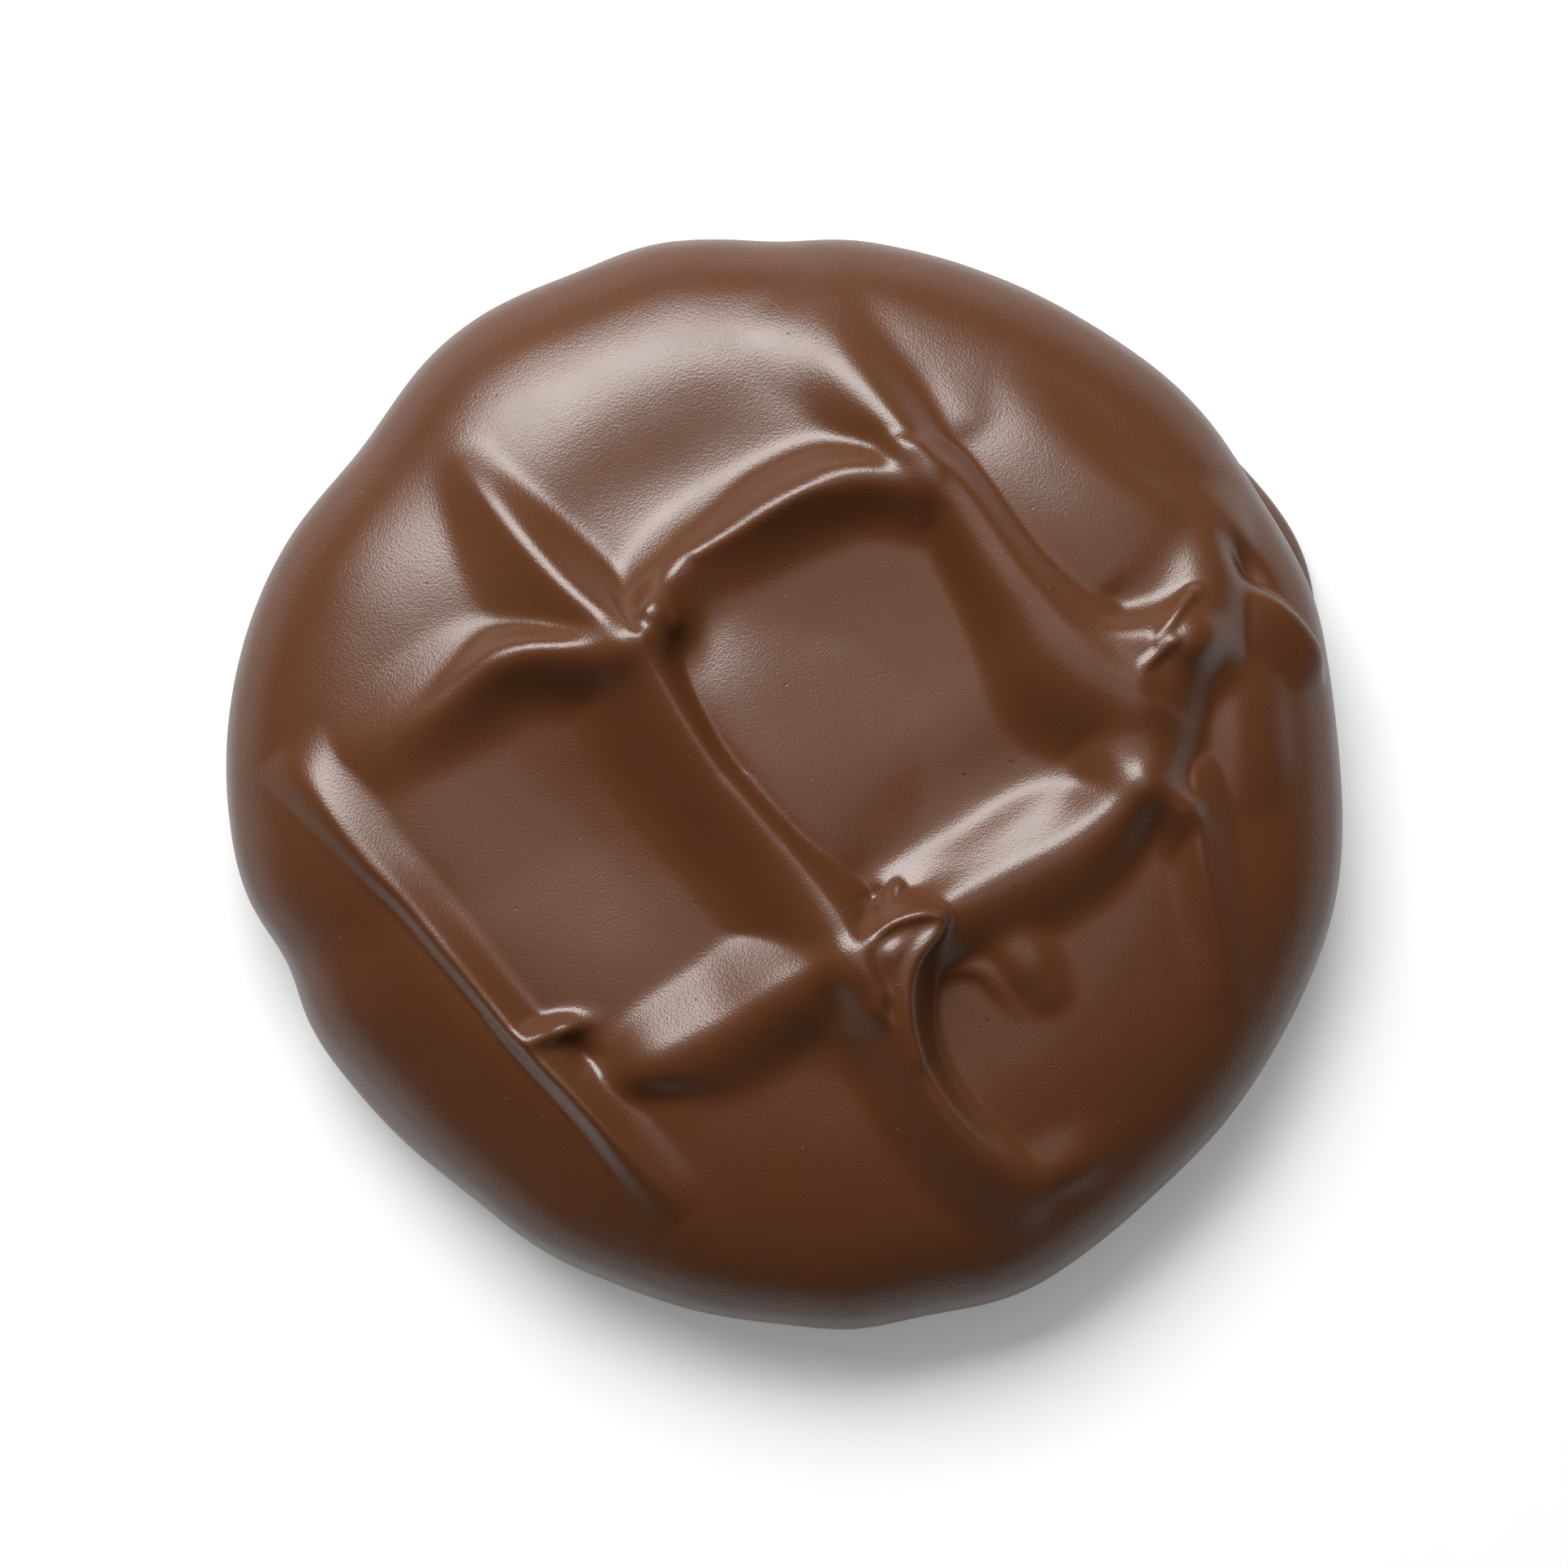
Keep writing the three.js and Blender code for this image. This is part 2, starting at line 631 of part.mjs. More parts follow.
// The body section with the length run along it, and its outward direction at every row.
function measuredSection() {
  const rows = smoothRows(SECTION, SECTION_STEPS).map(
    ([share, z]) => ({ radius: share * OUTLINE_RADIUS, share, z }),
  );
  let length = 0;
  rows.forEach((row, i) => {
    if (i > 0) {
      length += Math.hypot(row.radius - rows[i - 1].radius, row.z - rows[i - 1].z);
    }
    row.length = length;
  });
  rows.forEach((row, i) => {
    const before = rows[Math.max(0, i - 1)];
    const after = rows[Math.min(rows.length - 1, i + 1)];
    const span = Math.hypot(after.radius - before.radius, after.z - before.z);
    row.outward = (before.z - after.z) / span;
    row.upward = (after.radius - before.radius) / span;
  });
  return rows;
}

function sectionAt(section, length) {
  let k = 1;
  while (k < section.length - 1 && section[k].length < length) {
    k += 1;
  }
  const from = section[k - 1];
  const to = section[k];
  const t = clampShare((length - from.length) / (to.length - from.length));
  const mix = (key) => from[key] + t * (to[key] - from[key]);
  return { share: mix("share"), z: mix("z"), outward: mix("outward"), upward: mix("upward") };
}

// Length along the section at each ring of the grid.
function ringLengths(section) {
  const topEnd = section.find((row) => row.share >= TOP_ENDS_AT_SHARE).length;
  const total = section[section.length - 1].length;
  const lengths = [];
  for (let ring = 0; ring <= TOP_RINGS; ring += 1) {
    lengths.push((topEnd * ring) / TOP_RINGS);
  }
  for (let ring = 1; ring <= SIDE_RINGS; ring += 1) {
    lengths.push(topEnd + ((total - topEnd) * ring) / SIDE_RINGS);
  }
  return lengths;
}

// One point of the coated surface at a ring and a bearing.
function surfacePoint(section, ridges, length, bearing) {
  const place = sectionAt(section, length);
  const radius = bodyRadius(place, bearing);
  const x = OUTLINE_CENTRE.x + radius * Math.cos(bearing);
  const y = OUTLINE_CENTRE.y + radius * Math.sin(bearing);
  const fade = clampShare((place.z - RELIEF_ENDS_BELOW) / (RELIEF_FULL_ABOVE - RELIEF_ENDS_BELOW));
  const relief = fade * reliefAt(ridges, x, y);
  const sideways = smoothShare(place.outward, SIDEWAYS_STARTS, SIDEWAYS_FULL);
  const out = relief * place.outward * sideways;
  const up = relief * (1 - sideways + sideways * place.upward);
  return [x + out * Math.cos(bearing), y + out * Math.sin(bearing), place.z + up];
}

// Bearing of a cell of a square grid, so that its square rings become round rings.
function gridBearing(column, row) {
  if (column === 0 && row === 0) {
    return 0;
  }
  if (Math.abs(column) >= Math.abs(row)) {
    return GRID_TURN + (Math.PI / 4) * (row / column) + (column < 0 ? Math.PI : 0);
  }
  return GRID_TURN + Math.PI / 2 - (Math.PI / 4) * (column / row) + (row < 0 ? Math.PI : 0);
}

// The coated surface as a bent square grid, closed below by a flat fan around the origin.
function pattyGeometry() {
  const section = measuredSection();
  const lengths = ringLengths(section);
  const ridges = RIDGES.map((ridge) => ({ ...ridge, path: smoothRows(ridge.crest, CURVE_STEPS) }));
  const rings = lengths.length - 1;
  const side = 2 * rings + 1;
  const positions = [];
  for (let row = -rings; row <= rings; row += 1) {
    for (let column = -rings; column <= rings; column += 1) {
      const ring = Math.max(Math.abs(row), Math.abs(column));
      positions.push(...surfacePoint(section, ridges, lengths[ring], gridBearing(column, row)));
    }
  }
  const faces = [];
  for (let row = 0; row < side - 1; row += 1) {
    for (let column = 0; column < side - 1; column += 1) {
      const a = row * side + column;
      const [b, c, d] = [a + 1, a + side + 1, a + side];
      faces.push(a, b, c, a, c, d);
    }
  }
  const centre = positions.length / 3;
  positions.push(0, 0, 0);
  for (let step = 0; step < side - 1; step += 1) {
    const near = step;
    const right = step * side + side - 1;
    const far = side * side - 1 - step;
    const left = (side - 1 - step) * side;
    faces.push(centre, near + 1, near);
    faces.push(centre, right + side, right);
    faces.push(centre, far - 1, far);
    faces.push(centre, left - side, left);
  }
  const geometry = new THREE.BufferGeometry();
  geometry.setAttribute("position", new THREE.Float32BufferAttribute(positions, 3));
  geometry.setIndex(faces);
  geometry.computeVertexNormals();
  return geometry;
}

function chocolateMaterial() {
  return new THREE.MeshStandardMaterial({
    name: "milk_chocolate",
    color: 0x5f3d2b,
    roughness: 0.3,
    metalness: 0,
  });
}

function chocolatePatty() {
  const mesh = new THREE.Mesh(pattyGeometry(), chocolateMaterial());
  mesh.name = "chocolate_patty";
  return mesh;
}

const part = new THREE.Group();
part.name = "filled_chocolate";
part.add(chocolatePatty());

export default part;
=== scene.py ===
"""Filled chocolate: one round patty in milk chocolate, with ridges drawn up in its coat.

The coat is a low dome with a bulged side and a narrow foot. Ridges, drawn-out tips and
hollows stand on it as they set when the coat was worked. The shape is worked out in
millimetres, X to the right, Y away and Z up, and becomes a mesh in metres.
"""

import math
from collections import namedtuple

import bpy
import numpy as np
from bpy.props import FloatProperty, FloatVectorProperty, IntProperty, PointerProperty
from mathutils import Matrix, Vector


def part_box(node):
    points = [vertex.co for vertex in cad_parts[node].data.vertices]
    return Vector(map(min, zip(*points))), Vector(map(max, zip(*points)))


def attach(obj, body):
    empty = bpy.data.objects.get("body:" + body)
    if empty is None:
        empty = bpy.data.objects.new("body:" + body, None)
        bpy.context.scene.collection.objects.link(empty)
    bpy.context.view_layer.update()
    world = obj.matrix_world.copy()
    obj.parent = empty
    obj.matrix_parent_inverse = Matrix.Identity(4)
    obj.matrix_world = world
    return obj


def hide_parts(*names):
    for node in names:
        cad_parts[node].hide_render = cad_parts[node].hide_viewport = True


bl_info = {
    "name": "Filled Chocolate",
    "version": (1, 0, 0),
    "blender": (4, 5, 0),
    "location": "View3D > Sidebar > Chocolate",
    "description": "Builds a milk chocolate patty with ridges in its coat, and a small studio",
    "category": "Object",
}

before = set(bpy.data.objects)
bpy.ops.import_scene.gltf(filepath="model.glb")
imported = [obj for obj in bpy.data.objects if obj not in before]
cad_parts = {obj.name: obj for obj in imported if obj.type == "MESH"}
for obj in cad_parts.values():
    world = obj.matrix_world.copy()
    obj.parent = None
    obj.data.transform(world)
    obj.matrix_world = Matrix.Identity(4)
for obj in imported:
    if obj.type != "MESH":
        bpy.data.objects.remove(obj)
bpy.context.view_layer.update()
PATTY_LOW, PATTY_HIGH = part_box("chocolate_patty")

MM = 0.001

# Outline seen from above: a circle with broad swells (positive) and dents (negative).
# Each row is a bearing in degrees, a size in mm and a spread in degrees.
OUTLINE_CENTRE = (0.3, 0.2)
OUTLINE_RADIUS = 22.35
OUTLINE_SWELLS = (
    (23, 0.7, 10),
    (31, 0.8, 18),
    (91, -0.2, 5),
    (105, 0.35, 7),
    (125, 0.55, 12),
    (143, -0.45, 9),
    (174, 0.95, 33),
    (200, -0.65, 6),
    (234, -0.5, 9),
    (277, 0.4, 7),
    (297, 1.25, 11),
    (323, 0.4, 14),
    (347, 0.6, 14),
)
# Tucks: bearings where the upper body stays back, so that the foot shows outside it.
# Each row is a bearing in degrees, a size in mm, a spread in degrees, and the height in mm
# above which the body stays back in full.
TUCKS = (
    (27, 1.1, 12, 2.4),
    (219, 1.0, 14, 5.5),
    (250, 0.4, 9, 4.5),
    (299, 0.5, 8, 2.4),
)
TUCK_STARTS_ABOVE = 0.6

# Section of the body from the middle of the top to the edge of the flat foot.
# Each row is a share of the outline radius and a height in mm.
SECTION = (
    (0.0, 9.5),
    (0.2, 9.46),
    (0.4, 9.26),
    (0.6, 8.83),
    (0.7, 8.45),
    (0.8, 7.82),
    (0.87, 7.15),
    (0.92, 6.42),
    (0.96, 5.55),
    (0.985, 4.7),
    (1.0, 3.5),
    (0.996, 2.4),
    (0.984, 1.6),
    (0.986, 0.85),
    (0.982, 0.35),
    (0.955, 0.0),
)
BODY_HEIGHT = SECTION[0][1]
# Share of the outline radius where the rings of the top end and those of the side begin.
TOP_ENDS_AT_SHARE = 0.955
# Points that a smooth curve gets between two of its rows.
SECTION_STEPS = 24
CREST_STEPS = 6
# The grid is turned so that its lines run along the long ridges.
GRID_TURN = math.radians(-52)

# The ridges fade out down the side, between these two heights of the body in mm.
RELIEF_ENDS_BELOW = 3.0
RELIEF_FULL_ABOVE = 5.5
# Where the body turns this much towards the side, the ridges start to stand out sideways.
SIDEWAYS_STARTS = 0.3
SIDEWAYS_FULL = 0.7

# Flank forms: the height left at a share q of the reach is (1 - q^bend)^fall.
Flank = namedtuple("Flank", "bend fall")
MOUND = Flank(2.0, 2.0)
HOLLOW = Flank(1.0, 1.5)
SLOPE = Flank(1.6, 2.2)
SHOULDER = Flank(2.2, 1.3)
WALL = Flank(3.0, 1.1)
RAMP = Flank(1.0, 1.1)
SWEEP = Flank(1.0, 1.35)
FRONT = Flank(1.35, 2.2)

# A crest row holds x, y, height over the body, reach of the left flank, reach of the right
# flank and rounding of the crest, all in mm.
# Left and right are as seen when walking along the crest from its first row to its last.
Ridge = namedtuple("Ridge", "name left right crest")
BROAD_RIDGES = (
    Ridge("right long ridge, far part", HOLLOW, SWEEP, (
        (-0.13, 19.98, 0.0, 2.6, 3.0, 1.2),
        (1.11, 18.42, 0.35, 2.4, 3.0, 1.1),
        (2.41, 16.79, 0.75, 2.2, 2.7, 0.9),
        (3.88, 15.0, 1.1, 2.0, 2.3, 0.8),
        (5.02, 13.63, 1.35, 1.8, 2.0, 0.7),
        (5.99, 12.49, 1.5, 1.4, 1.8, 0.6),
    )),
    Ridge("lip of the right hollow", SWEEP, MOUND, (
        (12.35, 6.3, 1.05, 0.8, 2.4, 0.3),
        (13.65, 6.04, 1.2, 1.0, 3.0, 0.3),
        (14.92, 6.24, 1.3, 1.1, 3.0, 0.3),
        (15.93, 7.02, 1.3, 1.1, 2.0, 0.3),
    )),
    Ridge("middle long ridge, far part", RAMP, SWEEP, (
        (-13.13, 13.24, 0.1, 1.2, 1.3, 0.1),
        (-12.08, 11.81, 0.68, 1.4, 2.0, 0.12),
        (-10.52, 9.89, 1.15, 1.75, 3.0, 0.14),
        (-8.93, 8.13, 1.5, 1.85, 3.4, 0.2),
        (-7.49, 6.82, 1.75, 1.7, 3.4, 0.35),
        (-6.06, 5.65, 2.0, 1.4, 3.6, 0.6),
    )),
    Ridge("middle long ridge, near part", SHOULDER, RAMP, (
        (4.3, -6.82, 2.15, 0.9, 2.8, 0.3),
        (4.56, -7.96, 2.05, 0.9, 2.8, 0.3),
        (4.76, -8.94, 1.95, 0.9, 2.8, 0.25),
        (5.02, -10.24, 1.8, 0.9, 2.7, 0.25),
        (5.67, -11.87, 1.6, 0.9, 2.6, 0.25),
        (6.64, -13.5, 1.4, 1.0, 2.5, 0.25),
        (7.82, -15.0, 1.1, 1.3, 2.5, 0.3),
        (9.41, -16.43, 0.6, 1.6, 2.2, 0.4),
        (10.62, -17.57, 0.0, 1.6, 1.8, 0.4),
    )),
    Ridge("side of the near part", MOUND, RAMP, (
        (3.13, -7.64, 1.75, 1.0, 2.2, 0.4),
        (3.84, -8.78, 1.6, 1.0, 2.2, 0.4),
        (4.5, -9.98, 1.4, 1.0, 2.0, 0.4),
        (5.15, -11.29, 1.2, 1.0, 1.8, 0.4),
    )),
    Ridge("right edge ridge, far part", MOUND, RAMP, (
        (17.39, 12.23, 0.1, 2.0, 2.4, 0.4),
        (17.0, 10.6, 0.55, 2.4, 2.8, 0.4),
        (16.81, 8.97, 0.9, 2.6, 3.0, 0.35),
        (16.74, 7.51, 1.1, 2.6, 3.0, 0.35),
        (16.55, 6.37, 1.15, 2.5, 3.2, 0.35),
        (16.09, 5.49, 1.2, 2.4, 3.4, 0.4),
    )),
    Ridge("right edge ridge, middle part", SHOULDER, MOUND, (
        (15.24, 5.0, 1.3, 2.6, 3.4, 0.3),
        (14.66, 4.15, 1.25, 2.8, 3.6, 0.2),
        (14.33, 3.18, 1.25, 2.8, 3.6, 0.15),
        (14.07, 1.64, 1.25, 2.7, 3.4, 0.15),
        (14.2, 0.18, 1.4, 2.2, 2.8, 0.2),
    )),
    Ridge("right edge ridge, near part", MOUND, HOLLOW, (
        (14.2, 0.11, 1.4, 1.4, 1.8, 0.25),
        (15.18, -0.47, 1.25, 1.2, 2.0, 0.25),
        (16.22, -1.06, 1.15, 0.9, 2.4, 0.25),
    )),
    Ridge("cross ridge over the left hollow", MOUND, FRONT, (
        (-15.83, 1.48, 0.35, 1.2, 2.4, 0.4),
        (-14.69, 2.36, 0.65, 1.1, 2.7, 0.4),
        (-13.55, 3.31, 0.95, 1.0, 3.0, 0.35),
        (-12.51, 4.15, 1.2, 1.2, 3.1, 0.2),
        (-11.43, 4.9, 1.45, 1.5, 3.1, 0.1),
        (-10.13, 5.33, 1.6, 1.3, 3.1, 0.2),
        (-8.66, 5.46, 1.75, 0.9, 3.1, 0.4),
        (-6.71, 5.39, 1.9, 1.4, 3.1, 0.6),
    )),
    Ridge("rise behind the left cross ridge", SWEEP, HOLLOW, (
        (-17.13, 1.32, 0.2, 1.6, 1.5, 0.3),
        (-15.18, 2.79, 0.4, 1.9, 1.5, 0.3),
        (-13.55, 3.93, 0.5, 2.1, 1.5, 0.3),
        (-12.25, 4.8, 0.55, 2.0, 1.5, 0.3),
        (-10.62, 5.39, 0.6, 1.6, 1.5, 0.3),
        (-8.99, 5.65, 0.8, 1.3, 1.5, 0.3),
    )),
    Ridge("cross ridge over the middle hollow", MOUND, FRONT, (
        (-5.67, 6.82, 1.6, 0.7, 2.4, 0.3),
        (-4.5, 8.39, 1.0, 0.8, 2.7, 0.2),
        (-3.39, 9.3, 0.98, 1.0, 2.8, 0.1),
        (-2.08, 10.02, 1.15, 1.4, 2.9, 0.1),
        (-0.59, 10.93, 1.4, 1.8, 2.9, 0.1),
        (1.11, 11.74, 1.5, 1.9, 2.9, 0.1),
        (2.74, 12.23, 1.45, 1.6, 2.8, 0.2),
        (4.36, 12.23, 1.35, 1.2, 2.7, 0.4),
        (5.99, 11.84, 1.35, 1.0, 2.7, 0.4),
    )),
    Ridge("rise behind the middle cross ridge", SWEEP, HOLLOW, (
        (-6.12, 6.43, 0.9, 1.4, 1.5, 0.3),
        (-4.5, 8.39, 0.68, 2.0, 1.5, 0.3),
        (-3.13, 9.5, 0.6, 2.1, 1.5, 0.3),
        (-1.5, 10.54, 0.58, 2.2, 1.5, 0.3),
        (0.29, 11.51, 0.58, 2.2, 1.5, 0.3),
        (2.08, 12.17, 0.62, 2.1, 1.5, 0.3),
        (3.88, 12.3, 0.8, 1.9, 1.5, 0.3),
        (5.67, 11.91, 1.0, 1.5, 1.5, 0.3),
    )),
    Ridge("near cross ridge, left part", RAMP, MOUND, (
        (-6.64, -11.94, 0.2, 1.2, 1.4, 0.3),
        (-5.99, -11.48, 0.7, 1.7, 2.2, 0.25),
        (-5.15, -10.96, 0.95, 2.2, 2.9, 0.2),
        (-3.71, -10.24, 1.05, 2.5, 3.2, 0.15),
        (-2.15, -9.33, 1.15, 2.6, 3.3, 0.15),
        (-0.52, -8.29, 1.4, 2.8, 3.3, 0.2),
        (1.11, -7.38, 1.7, 2.6, 3.5, 0.3),
        (2.74, -6.6, 2.05, 2.0, 3.5, 0.4),
    )),
    Ridge("near cross ridge, right part", RAMP, MOUND, (
        (4.63, -5.94, 2.1, 1.2, 2.6, 0.3),
        (5.67, -5.29, 1.7, 1.5, 2.8, 0.3),
        (6.48, -4.77, 1.35, 1.9, 3.0, 0.25),
        (8.01, -4.02, 1.1, 2.3, 3.3, 0.25),
        (9.64, -3.21, 1.05, 2.3, 3.3, 0.25),
        (11.21, -2.43, 1.1, 2.2, 3.1, 0.25),
        (12.57, -1.45, 1.25, 2.0, 2.6, 0.3),
        (14.2, 0.05, 1.4, 1.8, 1.8, 0.3),
    )),
    Ridge("terrace of the near cross ridge", SWEEP, MOUND, (
        (4.36, -4.32, 0.4, 1.3, 1.2, 0.5),
        (6.06, -3.6, 0.45, 1.4, 1.2, 0.5),
        (7.75, -2.82, 0.5, 1.4, 1.2, 0.5),
        (9.51, -1.71, 0.5, 1.4, 1.2, 0.5),
        (10.88, -0.93, 0.35, 1.3, 1.2, 0.5),
        (11.6, -0.67, 0.15, 1.2, 1.0, 0.5),
    )),
    Ridge("small rise below the near crossing", MOUND, HOLLOW, (
        (1.27, -9.72, 0.3, 0.8, 1.8, 0.2),
        (2.57, -9.66, 0.7, 0.9, 2.0, 0.2),
        (3.88, -10.41, 1.0, 0.9, 2.0, 0.2),
    )),
    Ridge("swell on the upper right", SWEEP, HOLLOW, (
        (5.34, 13.86, 0.0, 2.4, 1.4, 0.4),
        (7.3, 14.51, 0.22, 2.8, 1.6, 0.4),
        (9.41, 15.16, 0.0, 2.4, 1.4, 0.4),
    )),
    Ridge("nose below the near cross ridge", MOUND, MOUND, (
        (8.11, -5.1, 0.35, 1.4, 1.4, 0.5),
        (9.06, -6.27, 0.45, 1.5, 1.5, 0.5),
        (9.84, -7.31, 0.5, 1.5, 1.4, 0.5),
        (10.36, -8.09, 0.3, 1.3, 1.2, 0.5),
    )),
    Ridge("rise at the near edge", RAMP, MOUND, (
        (9.09, -16.37, 0.0, 1.4, 1.2, 0.3),
        (11.21, -15.46, 0.4, 1.7, 1.4, 0.3),
        (13.32, -14.22, 0.0, 1.4, 1.2, 0.3),
    )),
    Ridge("fold beside the right crossing", MOUND, MOUND, (
        (17.52, 7.51, 0.3, 0.9, 1.2, 0.4),
        (17.72, 6.37, 0.45, 0.9, 1.3, 0.4),
        (17.85, 5.39, 0.5, 0.9, 1.4, 0.4),
        (17.52, 4.48, 0.45, 1.0, 1.4, 0.4),
        (16.81, 3.76, 0.3, 1.1, 1.2, 0.4),
        (16.03, 2.79, 0.0, 1.0, 1.0, 0.4),
    )),
    Ridge("floor of the right hollow", MOUND, SHOULDER, (
        (7.46, 15.81, 0.0, 2.4, 2.6, 0.8),
        (8.44, 14.9, 0.15, 2.8, 3.6, 0.8),
        (9.74, 13.7, 0.35, 3.0, 4.6, 0.8),
        (11.37, 12.3, 0.5, 2.8, 5.4, 0.8),
        (13.16, 11.12, 0.58, 2.6, 5.6, 0.8),
        (14.95, 10.11, 0.6, 2.4, 4.6, 0.8),
        (15.93, 8.97, 0.45, 2.2, 3.6, 0.8),
    )),
    Ridge("panel below the left ridge", MOUND, FRONT, (
        (-20.07, 0.18, 0.0, 1.0, 2.4, 0.4),
        (-18.44, -2.1, 0.25, 1.0, 2.8, 0.4),
        (-17.13, -3.66, 0.35, 1.0, 3.2, 0.4),
        (-15.57, -5.42, 0.42, 1.0, 3.5, 0.4),
        (-14.01, -7.31, 0.5, 1.0, 3.6, 0.4),
        (-12.51, -9.14, 0.55, 1.0, 3.6, 0.4),
        (-11.14, -10.64, 0.6, 1.0, 3.6, 0.4),
        (-9.51, -12.26, 0.6, 1.0, 3.4, 0.4),
        (-8.01, -13.89, 0.5, 1.0, 3.2, 0.4),
        (-6.19, -16.04, 0.3, 1.0, 2.6, 0.4),
        (-4.27, -17.83, 0.0, 1.0, 2.0, 0.4),
    )),
    Ridge("swell of the right panel", MOUND, MOUND, (
        (18.37, 5.39, 0.0, 1.8, 1.5, 0.6),
        (18.53, 3.76, 0.3, 2.0, 1.6, 0.6),
        (18.7, 2.13, 0.4, 2.0, 1.7, 0.6),
        (18.86, 0.5, 0.3, 2.0, 1.6, 0.6),
        (19.02, -1.45, 0.0, 1.6, 1.4, 0.6),
    )),
    Ridge("floor beside the middle ridge", RAMP, MOUND, (
        (-4.17, 5.72, 0.0, 3.0, 1.8, 0.6),
        (-3.06, 3.83, 0.4, 4.5, 1.8, 0.6),
        (-1.82, 2.0, 0.55, 6.0, 1.8, 0.6),
        (-0.46, 0.24, 0.6, 6.5, 1.8, 0.6),
        (0.85, -1.38, 0.55, 6.0, 1.8, 0.6),
        (1.89, -2.82, 0.35, 4.5, 1.8, 0.6),
        (2.74, -4.06, 0.0, 3.0, 1.5, 0.6),
    )),
)
